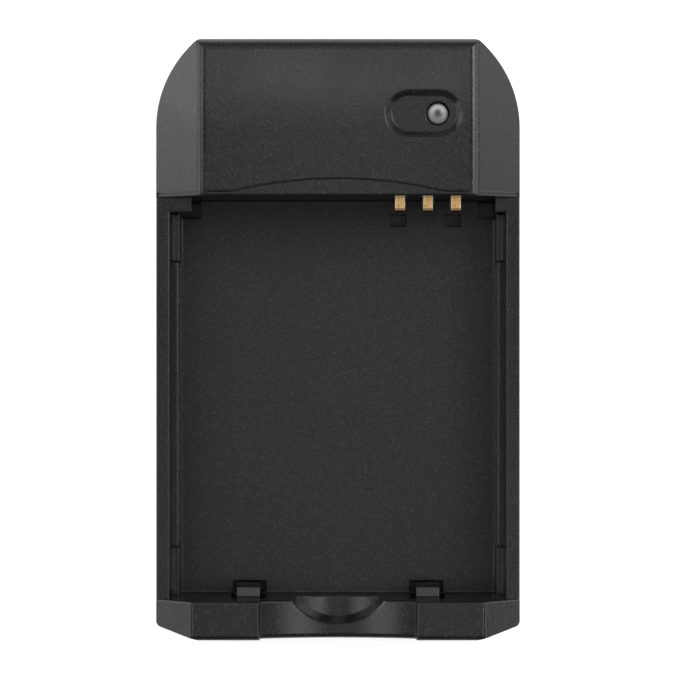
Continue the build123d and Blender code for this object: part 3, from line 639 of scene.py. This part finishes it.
def makeCloudedEpoxy(name, spec, node):
    material, tree, place = startMaterial(name)
    outward, radius = aroundMiddle(tree, place, node)
    cup = addNode(
        tree, "ShaderNodeMapRange",
        settings={"interpolation_type": "SMOOTHSTEP"},
        values=rampMm(spec["cupMm"], 1.0, 0.0),
        links={"Value": (radius, "Value")},
    )
    halo = addNode(
        tree, "ShaderNodeMapRange",
        settings={"interpolation_type": "SMOOTHSTEP"},
        values=rampMm(spec["haloMm"]),
        links={"Value": (radius, "Value")},
    )
    plain = addNode(
        tree, "ShaderNodeMix",
        settings={"data_type": "RGBA"},
        values={6: linearFromHex(spec["colour"]), 7: linearFromHex(spec["haloColour"])},
        links={0: (halo, "Result")},
    )
    # painted highlight: a band round the middle, brighter towards the back where the light falls on
    # the cup's wall, fading towards the front
    turned = addNode(tree, "ShaderNodeSeparateXYZ", links={"Vector": (outward, "Vector")})
    away = addNode(
        tree, "ShaderNodeMapRange",
        settings={"interpolation_type": "SMOOTHSTEP"},
        values=rampMm(spec["crescentHighlightAlongMm"]),
        links={"Value": (turned, "Y")},
    )
    fromBand = addNode(
        tree, "ShaderNodeMath",
        settings={"operation": "SUBTRACT"},
        values={1: spec["crescentHighlightMm"] * mm},
        links={0: (radius, "Value")},
    )
    offBand = addNode(
        tree, "ShaderNodeMath", settings={"operation": "ABSOLUTE"}, links={0: (fromBand, "Value")},
    )
    band = addNode(
        tree, "ShaderNodeMapRange",
        settings={"interpolation_type": "SMOOTHSTEP"},
        values=rampMm(spec["crescentHighlightFadeMm"], 1.0, 0.0),
        links={"Value": (offBand, "Value")},
    )
    paintedCrescentHighlight = addNode(
        tree, "ShaderNodeMath",
        settings={"operation": "MULTIPLY"}, links={0: (away, "Result"), 1: (band, "Result")},
    )
    lens = addNode(
        tree, "ShaderNodeMix",
        settings={"data_type": "RGBA"},
        values={7: linearFromHex(spec["crescentHighlightColour"])},
        links={0: (paintedCrescentHighlight, "Value"), 6: (plain, 2)},
    )
    colour = addNode(
        tree, "ShaderNodeMix",
        settings={"data_type": "RGBA"},
        values={7: linearFromHex(spec["cupColour"])},
        links={0: (cup, "Result"), 6: (lens, 2)},
    )
    ripple = addNode(
        tree, "ShaderNodeTexNoise",
        values={"Scale": 1 / (spec["rippleMm"] * mm), "Detail": 1.0},
        links={"Vector": (place, "Object")},
    )
    bump = addNode(
        tree, "ShaderNodeBump",
        values={"Strength": 1.0, "Distance": spec["rippleDepthMm"] * mm},
        links={"Height": (ripple, "Fac")},
    )
    lensShader = addNode(
        tree, "ShaderNodeBsdfPrincipled",
        values={
            "IOR": 1.55, "Roughness": spec["roughness"], "Subsurface Weight": spec["cloudShare"],
            "Subsurface Radius": (1.0, 1.0, 1.0), "Subsurface Scale": spec["cloudDepthMm"] * mm,
        },
        links={"Base Color": (colour, 2), "Normal": (bump, "Normal")},
    )
    leadShader = addNode(
        tree, "ShaderNodeBsdfPrincipled",
        values={
            "Base Color": linearFromHex(spec["leadColour"]),
            "Metallic": 1.0, "Roughness": spec["leadRoughness"],
        },
        links={"Normal": (bump, "Normal")},
    )
    height = addNode(tree, "ShaderNodeSeparateXYZ", links={"Vector": (place, "Object")})
    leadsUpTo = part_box(node)[1][2] / mm - spec["lensHeightMm"]
    isLens = whereAllHold(tree, [("GREATER_THAN", (height, "Z"), leadsUpTo)])
    splitByPart(tree, isLens, leadShader, lensShader)
    return material


dress(makeCloudedEpoxy("cloudedLampEpoxy", lampLens, "status_led"), "status_led")
print("lamp dressed")


# inner mouldings: glass-filled nylon, and liquid crystal polymer in the inlet
# dull near-black with short pale fibres lying just under the skin
innerMouldings = {
    "contact_carrier": {
        "name": "glassFilledNylonCarrier", "colour": "#111213", "fibreColour": "#242628",
        "roughness": 0.48, "fibreMm": 0.12,
    },
    "led_spacer": {
        "name": "glassFilledNylonSpacer", "colour": "#151515", "fibreColour": "#2a2a2a",
        "roughness": 0.52, "fibreMm": 0.12,
    },
    "inlet_tongue": {
        "name": "liquidCrystalPolymerTongue", "colour": "#0f0f10", "fibreColour": "#1e1e20",
        "roughness": 0.38, "fibreMm": 0.08,
    },
}
innerFinish = {
    "edgeMm": 0.08,
    "fibreStretch": 6,  # length to thickness
    "fibresAt": (0.58, 0.75),
    "fibreDepthMm": 0.004,
}


def makeFilledNylon(spec, finish):
    material, tree, place = startMaterial(spec["name"])
    softNormal = addNode(
        tree, "ShaderNodeBevel", settings={"samples": 4}, values={"Radius": finish["edgeMm"] * mm},
    )
    runsMm = (finish["fibreStretch"] * spec["fibreMm"], spec["fibreMm"], spec["fibreMm"])
    fibres = stretchedNoise(tree, place, runsMm, {"Detail": 2.0, "Distortion": 0.4})
    shown = addNode(
        tree, "ShaderNodeMapRange",
        values=ramp(finish["fibresAt"]),
        links={"Value": (fibres, "Fac")},
    )
    colour = addNode(
        tree, "ShaderNodeMix",
        settings={"data_type": "RGBA"},
        values={6: linearFromHex(spec["colour"]), 7: linearFromHex(spec["fibreColour"])},
        links={0: (shown, "Result")},
    )
    bump = addNode(
        tree, "ShaderNodeBump",
        values={"Strength": 1.0, "Distance": finish["fibreDepthMm"] * mm},
        links={"Height": (fibres, "Fac"), "Normal": (softNormal, "Normal")},
    )
    shader = addNode(
        tree, "ShaderNodeBsdfPrincipled",
        values={"IOR": 1.53, "Roughness": spec["roughness"]},
        links={"Base Color": (colour, 2), "Normal": (bump, "Normal")},
    )
    addNode(tree, "ShaderNodeOutputMaterial", links={"Surface": (shader, "BSDF")})
    return material


for nodeName, spec in innerMouldings.items():
    dress(makeFilledNylon(spec, innerFinish), nodeName)
print("inner mouldings dressed")


# plated steel: zinc on the headed screws, tin on the folded inlet shell
# grey metal, screws a little cloudy and bluish, the sheet brighter with drawing lines along it
platedSteel = {
    "screws": {
        "name": "zincPlatedSteel", "colour": "#b3b6ba", "cloudColour": "#8f949b",
        "roughness": (0.27, 0.41), "cloudMm": 0.8,
        "lineMm": (0.3, 0.3, 0.3), "lineDepthMm": 0.004,
    },
    "inletShell": {
        "name": "tinPlatedSteel", "colour": "#d2d0cb", "cloudColour": "#b1afaa",
        "roughness": (0.20, 0.34), "cloudMm": 1.6,
        "lineMm": (0.06, 3.0, 0.06), "lineDepthMm": 0.002,
    },
}
platedEdgeMm = 0.12  # their edges' rounding


def makePlatedSteel(spec):
    material, tree, place = startMaterial(spec["name"])
    softNormal = addNode(
        tree, "ShaderNodeBevel", settings={"samples": 6}, values={"Radius": platedEdgeMm * mm},
    )
    lines = stretchedNoise(tree, place, spec["lineMm"], {"Detail": 3.0})
    clouds = addNode(
        tree, "ShaderNodeTexNoise",
        values={"Scale": 1 / (spec["cloudMm"] * mm), "Detail": 3.0, "Roughness": 0.6},
        links={"Vector": (place, "Object")},
    )
    colour = addNode(
        tree, "ShaderNodeMix",
        settings={"data_type": "RGBA"},
        values={6: linearFromHex(spec["colour"]), 7: linearFromHex(spec["cloudColour"])},
        links={0: (clouds, "Fac")},
    )
    roughness = addNode(
        tree, "ShaderNodeMapRange",
        values=ramp(mostOfNoise, *spec["roughness"]),
        links={"Value": (clouds, "Fac")},
    )
    bump = addNode(
        tree, "ShaderNodeBump",
        values={"Strength": 1.0, "Distance": spec["lineDepthMm"] * mm},
        links={"Height": (lines, "Fac"), "Normal": (softNormal, "Normal")},
    )
    shader = addNode(
        tree, "ShaderNodeBsdfPrincipled",
        values={"Metallic": 1.0},
        links={
            "Base Color": (colour, 2), "Roughness": (roughness, "Result"),
            "Normal": (bump, "Normal"),
        },
    )
    addNode(tree, "ShaderNodeOutputMaterial", links={"Surface": (shader, "BSDF")})
    return material


dress(makePlatedSteel(platedSteel["screws"]), "case_screws", "board_screws")
dress(makePlatedSteel(platedSteel["inletShell"]), "inlet_shell")
print("screws and inlet dressed")


# circuit board: glass-epoxy laminate, etched and coated with green solder resist
# glossy green, tracks showing through as paler bars, pale raw laminate at the cut edges
circuitBoard = {
    "resistColour": "#16402a",
    "trackColour": "#23603d",
    "edgeColour": "#a39c6a",
    "trackMm": 1.6,
    "gapMm": 0.28,
    "trackDepthMm": 0.035,
    "roughness": 0.26,
    "edgeRoughness": 0.75,
    "weaveMm": 0.45,
    "weaveDepthMm": 0.006,
}


def makeSolderResist(name, spec):
    material, tree, place = startMaterial(name)
    tracks = addNode(
        tree, "ShaderNodeTexBrick",
        settings={"offset": 0.5, "squash": 1.0},
        values={
            "Color1": linearFromHex(spec["trackColour"]),
            "Color2": linearFromHex(spec["trackColour"]),
            "Mortar": linearFromHex(spec["resistColour"]),
            "Scale": 1 / mm,
            "Mortar Size": spec["gapMm"],
            "Mortar Smooth": 0.2,
            "Brick Width": 4 * spec["trackMm"],
            "Row Height": spec["trackMm"],
        },
        links={"Vector": (place, "Object")},
    )
    weave = addNode(
        tree, "ShaderNodeTexWave",
        settings={"wave_type": "BANDS", "bands_direction": "DIAGONAL"},
        values={"Scale": 0.3 / (spec["weaveMm"] * mm), "Distortion": 1.0},
        links={"Vector": (place, "Object")},
    )
    face = addNode(tree, "ShaderNodeNewGeometry")
    upright = addNode(tree, "ShaderNodeSeparateXYZ", links={"Vector": (face, "Normal")})
    level = addNode(
        tree, "ShaderNodeMath", settings={"operation": "ABSOLUTE"}, links={0: (upright, "Z")},
    )
    isFace = addNode(
        tree, "ShaderNodeMath",
        settings={"operation": "GREATER_THAN"},
        values={1: 0.5},
        links={0: (level, "Value")},
    )
    colour = addNode(
        tree, "ShaderNodeMix",
        settings={"data_type": "RGBA"},
        values={6: linearFromHex(spec["edgeColour"])},
        links={0: (isFace, "Value"), 7: (tracks, "Color")},
    )
    trackBump = addNode(
        tree, "ShaderNodeBump",
        settings={"invert": True},
        values={"Strength": 1.0, "Distance": spec["trackDepthMm"] * mm},
        links={"Height": (tracks, "Fac")},
    )
    bump = addNode(
        tree, "ShaderNodeBump",
        values={"Strength": 0.5, "Distance": spec["weaveDepthMm"] * mm},
        links={"Height": (weave, "Fac"), "Normal": (trackBump, "Normal")},
    )
    roughness = addNode(
        tree, "ShaderNodeMapRange",
        values={"To Min": spec["edgeRoughness"], "To Max": spec["roughness"]},
        links={"Value": (isFace, "Value")},
    )
    shader = addNode(
        tree, "ShaderNodeBsdfPrincipled",
        values={"IOR": 1.52},
        links={
            "Base Color": (colour, 2), "Roughness": (roughness, "Result"),
            "Normal": (bump, "Normal"),
        },
    )
    addNode(tree, "ShaderNodeOutputMaterial", links={"Surface": (shader, "BSDF")})
    return material


dress(makeSolderResist("greenSolderResist", circuitBoard), "circuit_board")
print("board dressed")


# packages: epoxy moulding compound with tinned legs or end caps
# slightly sandy black or ochre blocks, satin silver metal where they are soldered
packages = {
    "charge_controller": {
        "name": "mouldedEpoxyController", "colour": "#18181a", "bodyMm": 3.9, "axis": 1,
    },
    "switching_transistor": {
        "name": "mouldedEpoxyTransistor", "colour": "#19191b", "bodyMm": 1.3, "axis": 1,
    },
    "rectifier_diode": {"name": "mouldedEpoxyDiode", "colour": "#1b1b1c", "bodyMm": 2.8, "axis": 1},
    "input_capacitor": {
        "name": "mouldedTantalumEpoxy", "colour": "#b98a34", "bodyMm": 2.7, "axis": 0,
    },
}
packageFinish = {
    "legColour": "#cfcdc8",
    "legRoughness": 0.33,
    "grainMm": 0.15,
    "grainDepthMm": 0.006,
    "grainShade": 0.35,
    "edgeMm": 0.06,
    "roughness": 0.55,
}


def makeMouldedEpoxy(node, spec, finish):
    material, tree, place = startMaterial(spec["name"])
    softNormal = addNode(
        tree, "ShaderNodeBevel", settings={"samples": 4}, values={"Radius": finish["edgeMm"] * mm},
    )
    grain = addNode(
        tree, "ShaderNodeTexNoise",
        values={"Scale": 1 / (finish["grainMm"] * mm), "Detail": 2.0},
        links={"Vector": (place, "Object")},
    )
    bump = addNode(
        tree, "ShaderNodeBump",
        values={"Strength": 1.0, "Distance": finish["grainDepthMm"] * mm},
        links={"Height": (grain, "Fac"), "Normal": (softNormal, "Normal")},
    )
    shade = addNode(
        tree, "ShaderNodeMix",
        settings={"data_type": "RGBA", "blend_type": "MULTIPLY"},
        values={0: finish["grainShade"], 6: linearFromHex(spec["colour"])},
        links={7: (grain, "Color")},
    )
    # metal shows beyond the moulded body's half width
    offset = addNode(
        tree, "ShaderNodeVectorMath",
        settings={"operation": "SUBTRACT"},
        values={1: middleOf(node)},
        links={0: (place, "Object")},
    )
    parts = addNode(tree, "ShaderNodeSeparateXYZ", links={"Vector": (offset, "Vector")})
    reach = addNode(
        tree, "ShaderNodeMath",
        settings={"operation": "ABSOLUTE"}, links={0: (parts, spec["axis"])},
    )
    bodyReach = spec["bodyMm"] / 2 + justPastMm
    isMetal = whereAllHold(tree, [("GREATER_THAN", (reach, "Value"), bodyReach)])
    body = addNode(
        tree, "ShaderNodeBsdfPrincipled",
        values={"IOR": 1.55, "Roughness": finish["roughness"]},
        links={"Base Color": (shade, 2), "Normal": (bump, "Normal")},
    )
    legs = addNode(
        tree, "ShaderNodeBsdfPrincipled",
        values={
            "Base Color": linearFromHex(finish["legColour"]),
            "Metallic": 1.0, "Roughness": finish["legRoughness"],
        },
        links={"Normal": (bump, "Normal")},
    )
    splitByPart(tree, isMetal, body, legs)
    return material


for nodeName, spec in packages.items():
    dress(makeMouldedEpoxy(nodeName, spec, packageFinish), nodeName)
print("packages dressed")


# coil: sintered ferrite round an enamelled copper winding
# a chalky dark grey block, reddish copper turns in its round window
inductor = {
    "ferriteColour": "#2b2b2d",
    "copperColour": "#b0603a",
    "windowInnerMm": 1.46,
    "windowOuterMm": 2.49,
    "belowTopMm": 0.3,
    "wireMm": 0.25,
    "copperRoughness": 0.3,
    "grainMm": 0.12,
    "grainDepthMm": 0.01,
    "grainShade": 0.3,
    "ferriteRoughness": 0.7,
}


def makeWoundFerrite(name, spec, node):
    material, tree, place = startMaterial(name)
    radius = aroundMiddle(tree, place, node)[1]
    turns = addNode(
        tree, "ShaderNodeMath",
        settings={"operation": "PINGPONG"},
        values={1: spec["wireMm"] * mm / 2},
        links={0: (radius, "Value")},
    )
    turnBump = addNode(
        tree, "ShaderNodeBump",
        values={"Strength": 1.0, "Distance": 1.0},
        links={"Height": (turns, "Value")},
    )
    height = addNode(tree, "ShaderNodeSeparateXYZ", links={"Vector": (place, "Object")})
    isCopper = whereAllHold(tree, [
        ("GREATER_THAN", (radius, "Value"), spec["windowInnerMm"]),
        ("LESS_THAN", (radius, "Value"), spec["windowOuterMm"]),
        ("LESS_THAN", (height, "Z"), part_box(node)[1][2] / mm - spec["belowTopMm"]),
    ])
    grain = addNode(
        tree, "ShaderNodeTexNoise",
        values={"Scale": 1 / (spec["grainMm"] * mm), "Detail": 3.0},
        links={"Vector": (place, "Object")},
    )
    bump = addNode(
        tree, "ShaderNodeBump",
        values={"Strength": 1.0, "Distance": spec["grainDepthMm"] * mm},
        links={"Height": (grain, "Fac")},
    )
    speckle = addNode(
        tree, "ShaderNodeMix",
        settings={"data_type": "RGBA", "blend_type": "OVERLAY"},
        values={0: spec["grainShade"], 6: linearFromHex(spec["ferriteColour"])},
        links={7: (grain, "Color")},
    )
    ferrite = addNode(
        tree, "ShaderNodeBsdfPrincipled",
        values={"IOR": 1.6, "Roughness": spec["ferriteRoughness"]},
        links={"Base Color": (speckle, 2), "Normal": (bump, "Normal")},
    )
    copper = addNode(
        tree, "ShaderNodeBsdfPrincipled",
        values={
            "Base Color": linearFromHex(spec["copperColour"]),
            "Metallic": 1.0, "Roughness": spec["copperRoughness"],
        },
        links={"Normal": (turnBump, "Normal")},
    )
    splitByPart(tree, isCopper, ferrite, copper)
    return material


dress(makeWoundFerrite("woundFerrite", inductor, "power_inductor"), "power_inductor")
print("coil dressed")


# can capacitor: drawn aluminium can crimped on a phenolic seat
# bright fine-brushed metal above a plain black square foot
canCapacitor = {
    "canColour": "#c9cacc",
    "seatColour": "#131314",
    "seatMm": 0.6,
    "seatRoughness": 0.5,
    "brushMm": 0.05,
    "brushRunMm": 1.5,
    "brushDepthMm": 0.002,
    "roughness": (0.22, 0.36),
}


def makeDrawnAluminium(name, spec, node):
    material, tree, place = startMaterial(name)
    runsMm = (spec["brushRunMm"], spec["brushRunMm"], spec["brushMm"])
    brush = stretchedNoise(tree, place, runsMm, {"Detail": 2.0})
    bump = addNode(
        tree, "ShaderNodeBump",
        values={"Strength": 1.0, "Distance": spec["brushDepthMm"] * mm},
        links={"Height": (brush, "Fac")},
    )
    roughness = addNode(
        tree, "ShaderNodeMapRange",
        values=ramp(mostOfNoise, *spec["roughness"]),
        links={"Value": (brush, "Fac")},
    )
    can = addNode(
        tree, "ShaderNodeBsdfPrincipled",
        values={"Base Color": linearFromHex(spec["canColour"]), "Metallic": 1.0},
        links={"Roughness": (roughness, "Result"), "Normal": (bump, "Normal")},
    )
    seat = addNode(
        tree, "ShaderNodeBsdfPrincipled",
        values={
            "Base Color": linearFromHex(spec["seatColour"]),
            "IOR": 1.6, "Roughness": spec["seatRoughness"],
        },
        links={"Normal": (bump, "Normal")},
    )
    height = addNode(tree, "ShaderNodeSeparateXYZ", links={"Vector": (place, "Object")})
    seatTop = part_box(node)[0][2] / mm + spec["seatMm"] + justPastMm
    isCan = whereAllHold(tree, [("GREATER_THAN", (height, "Z"), seatTop)])
    splitByPart(tree, isCan, seat, can)
    return material


dress(makeDrawnAluminium("drawnAluminiumCan", canCapacitor, "output_capacitor"), "output_capacitor")
print("can capacitor dressed")


# chips: fired ceramic with tinned ends
# resistors have a black glaze on white alumina, capacitors are plain tan all through
chips = {
    "chip_resistors": {
        "name": "glazedAluminaChip", "topColour": "#161617", "sideColour": "#d9d7d0",
        "roughness": 0.3,
    },
    "chip_capacitors": {
        "name": "firedTitanateChip", "topColour": "#a98a63", "sideColour": "#a08059",
        "roughness": 0.45,
    },
}
chipFinish = {"endColour": "#cfcdc8", "endRoughness": 0.35, "mottleMm": 0.2, "mottleDepthMm": 0.008}


def makeFiredChip(spec, finish):
    material, tree, place = startMaterial(spec["name"])
    face = addNode(tree, "ShaderNodeNewGeometry")
    facing = addNode(tree, "ShaderNodeSeparateXYZ", links={"Vector": (face, "Normal")})
    isTop = addNode(
        tree, "ShaderNodeMath",
        settings={"operation": "GREATER_THAN"}, values={1: 0.5}, links={0: (facing, "Z")},
    )
    across = addNode(
        tree, "ShaderNodeMath", settings={"operation": "ABSOLUTE"}, links={0: (facing, "X")},
    )
    isEnd = addNode(
        tree, "ShaderNodeMath",
        settings={"operation": "GREATER_THAN"}, values={1: 0.5}, links={0: (across, "Value")},
    )
    mottle = addNode(
        tree, "ShaderNodeTexNoise",
        values={"Scale": 1 / (finish["mottleMm"] * mm), "Detail": 2.0},
        links={"Vector": (place, "Object")},
    )
    bump = addNode(
        tree, "ShaderNodeBump",
        values={"Strength": 1.0, "Distance": finish["mottleDepthMm"] * mm},
        links={"Height": (mottle, "Fac")},
    )
    colour = addNode(
        tree, "ShaderNodeMix",
        settings={"data_type": "RGBA"},
        values={6: linearFromHex(spec["sideColour"]), 7: linearFromHex(spec["topColour"])},
        links={0: (isTop, "Value")},
    )
    ceramic = addNode(
        tree, "ShaderNodeBsdfPrincipled",
        values={"IOR": 1.6, "Roughness": spec["roughness"]},
        links={"Base Color": (colour, 2), "Normal": (bump, "Normal")},
    )
    ends = addNode(
        tree, "ShaderNodeBsdfPrincipled",
        values={
            "Base Color": linearFromHex(finish["endColour"]),
            "Metallic": 1.0, "Roughness": finish["endRoughness"],
        },
        links={"Normal": (bump, "Normal")},
    )
    splitByPart(tree, isEnd, ceramic, ends)
    return material


for nodeName, spec in chips.items():
    dress(makeFiredChip(spec, chipFinish), nodeName)
print("chips dressed")


# light: soft panels overhead and at the sides, and low ones that pick out the edges
# brightness is a panel's power divided by pi and by its area, so it doesn't change with the size
panels = {
    "overheadLeft": {
        "atMm": (-300, -140, 900), "sizeMm": (250, 200), "aimMm": (-300, -140, 0),
        "brightness": 2.1,
    },
    "overheadRight": {
        "atMm": (270, -140, 900), "sizeMm": (240, 200), "aimMm": (270, -140, 0), "brightness": 2.3,
    },
    "overheadBack": {
        "atMm": (0, 240, 900), "sizeMm": (200, 150), "aimMm": (0, 240, 0), "brightness": 1.9,
    },
    "overheadMiddle": {
        "atMm": (0, -10, 900), "sizeMm": (120, 380), "aimMm": (0, -10, 0), "brightness": 0.72,
    },
    "keyRight": {
        "atMm": (600, 340, 820), "sizeMm": (560, 420), "aimMm": (0, 340, 0), "brightness": 4.2,
    },
    "keyLeft": {
        "atMm": (-600, 340, 820), "sizeMm": (560, 420), "aimMm": (0, 340, 0), "brightness": 2.0,
    },
    "edgeRight": {
        "atMm": (830, 60, 370), "sizeMm": (1000, 340), "aimMm": (0, 60, 20), "brightness": 2.0,
    },
    "edgeLeft": {
        "atMm": (-830, 60, 370), "sizeMm": (1000, 340), "aimMm": (0, 60, 20), "brightness": 2.0,
    },
    "overheadFar": {
        "atMm": (0, 560, 820), "sizeMm": (600, 430), "aimMm": (0, 300, 0), "brightness": 0.6,
    },
    "edgeBack": {
        "atMm": (0, 900, 400), "sizeMm": (1400, 760), "aimMm": (0, 0, 100), "brightness": 0.25,
    },
    "sideLeft": {
        "atMm": (-900, 250, 65), "sizeMm": (1300, 130), "aimMm": (0, 250, 40), "brightness": 0.6,
    },
    "sideLeftBack": {
        "atMm": (-890, 490, 65), "sizeMm": (820, 130), "aimMm": (0, 490, 40), "brightness": 2.3,
    },
    "sideRightBack": {
        "atMm": (890, 480, 65), "sizeMm": (840, 130), "aimMm": (0, 480, 40), "brightness": 1.05,
    },
}


def hangPanel(name, spec):
    width, height = [size * mm for size in spec["sizeMm"]]
    light = bpy.data.lights.new(name, "AREA")
    light.shape = "RECTANGLE"
    light.size, light.size_y = width, height
    light.energy = spec["brightness"] * math.pi * width * height
    body = bpy.data.objects.new(name, light)
    body.location = Vector(spec["atMm"]) * mm
    looks = Vector(spec["aimMm"]) - Vector(spec["atMm"])
    body.rotation_euler = looks.to_track_quat("-Z", "Y").to_euler()
    body.visible_camera = False
    scene.collection.objects.link(body)


for panelName, spec in panels.items():
    hangPanel(panelName, spec)

room = {
    "ceilingColour": "#ffffff",
    "ceilingStrength": 0.20,
    "wallStrength": 0.15,
    "wallFade": (0.02, 0.30),  # sines of the heights over which the wall passes into the ceiling
}


def makeRoom(spec):
    world = bpy.data.worlds.new("studioRoom")
    world.use_nodes = True
    tree = world.node_tree
    tree.nodes.clear()
    scene.world = world
    ray = addNode(tree, "ShaderNodeLightPath")
    place = addNode(tree, "ShaderNodeTexCoord")
    direction = addNode(tree, "ShaderNodeSeparateXYZ", links={"Vector": (place, "Generated")})
    strength = addNode(
        tree, "ShaderNodeMapRange",
        settings={"interpolation_type": "SMOOTHSTEP"},
        values=ramp(spec["wallFade"], spec["wallStrength"], spec["ceilingStrength"]),
        links={"Value": (direction, "Z")},
    )
    lit = addNode(
        tree, "ShaderNodeBackground",
        values={"Color": linearFromHex(spec["ceilingColour"])},
        links={"Strength": (strength, "Result")},
    )
    white = addNode(
        tree, "ShaderNodeBackground", values={"Color": linearFromHex("#ffffff"), "Strength": 1.0},
    )
    looked = addNode(
        tree, "ShaderNodeMath",
        settings={"operation": "MAXIMUM"},
        links={0: (ray, "Is Camera Ray"), 1: (ray, "Is Transmission Ray")},
    )
    # mirrored rays see the white where it carries the floor on, under the horizon
    under = addNode(
        tree, "ShaderNodeMath",
        settings={"operation": "LESS_THAN"}, values={1: 0.0}, links={0: (direction, "Z")},
    )
    mirrored = addNode(
        tree, "ShaderNodeMath",
        settings={"operation": "MULTIPLY"},
        links={0: (ray, "Is Glossy Ray"), 1: (under, "Value")},
    )
    shown = addNode(
        tree, "ShaderNodeMath",
        settings={"operation": "MAXIMUM"},
        links={0: (looked, "Value"), 1: (mirrored, "Value")},
    )
    mix = addNode(
        tree, "ShaderNodeMixShader",
        links={0: (shown, "Value"), 1: (lit, "Background"), 2: (white, "Background")},
    )
    addNode(tree, "ShaderNodeOutputWorld", links={"Surface": (mix, "Shader")})


makeRoom(room)
print("light hung:", len(panels), "panels")


# floor: a sheet of white paper, which keeps a faint shadow
paperFloor = {
    "colour": "#dcdcda",
    "glow": 0.75,  # added where it is looked at, straight on, mirrored or through a lens
    "fibreMm": 0.6,
    "fibreDepthMm": 0.01,
    "halfWidthMm": 1500,
    "belowMm": 0.02,  # a hair under the charger, so that the two never share a plane
}


def layFloor(spec):
    half = spec["halfWidthMm"] * mm
    mesh = bpy.data.meshes.new("paperFloor")
    down = -spec["belowMm"] * mm
    corners = [(-half, -half, down), (half, -half, down), (half, half, down), (-half, half, down)]
    mesh.from_pydata(corners, [], [(0, 1, 2, 3)])
    sheet = bpy.data.objects.new("paperFloor", mesh)
    scene.collection.objects.link(sheet)
    material, tree, place = startMaterial("whitePaper")
    fibres = addNode(
        tree, "ShaderNodeTexNoise",
        values={"Scale": 1 / (spec["fibreMm"] * mm), "Detail": 3.0},
        links={"Vector": (place, "Object")},
    )
    bump = addNode(
        tree, "ShaderNodeBump",
        values={"Strength": 0.3, "Distance": spec["fibreDepthMm"] * mm},
        links={"Height": (fibres, "Fac")},
    )
    paper = addNode(
        tree, "ShaderNodeBsdfDiffuse",
        values={"Color": linearFromHex(spec["colour"])},
        links={"Normal": (bump, "Normal")},
    )
    ray = addNode(tree, "ShaderNodeLightPath")
    looked = addNode(
        tree, "ShaderNodeMath",
        settings={"operation": "MAXIMUM"},
        links={0: (ray, "Is Camera Ray"), 1: (ray, "Is Transmission Ray")},
    )
    looked = addNode(
        tree, "ShaderNodeMath",
        settings={"operation": "MAXIMUM"},
        links={0: (looked, "Value"), 1: (ray, "Is Glossy Ray")},
    )
    strength = addNode(
        tree, "ShaderNodeMath",
        settings={"operation": "MULTIPLY"},
        values={1: spec["glow"]},
        links={0: (looked, "Value")},
    )
    glow = addNode(
        tree, "ShaderNodeEmission",
        values={"Color": linearFromHex("#ffffff")},
        links={"Strength": (strength, "Value")},
    )
    both = addNode(tree, "ShaderNodeAddShader", links={0: (paper, "BSDF"), 1: (glow, "Emission")})
    # seen from below the sheet is clear, so that the charger's underside can be looked at
    face = addNode(tree, "ShaderNodeNewGeometry")
    clear = addNode(tree, "ShaderNodeBsdfTransparent")
    sided = addNode(
        tree, "ShaderNodeMixShader",
        links={0: (face, "Backfacing"), 1: (both, "Shader"), 2: (clear, "BSDF")},
    )
    addNode(tree, "ShaderNodeOutputMaterial", links={"Surface": (sided, "Shader")})
    mesh.materials.append(material)


layFloor(paperFloor)
print("floor laid")

scene.view_settings.view_transform = "Standard"
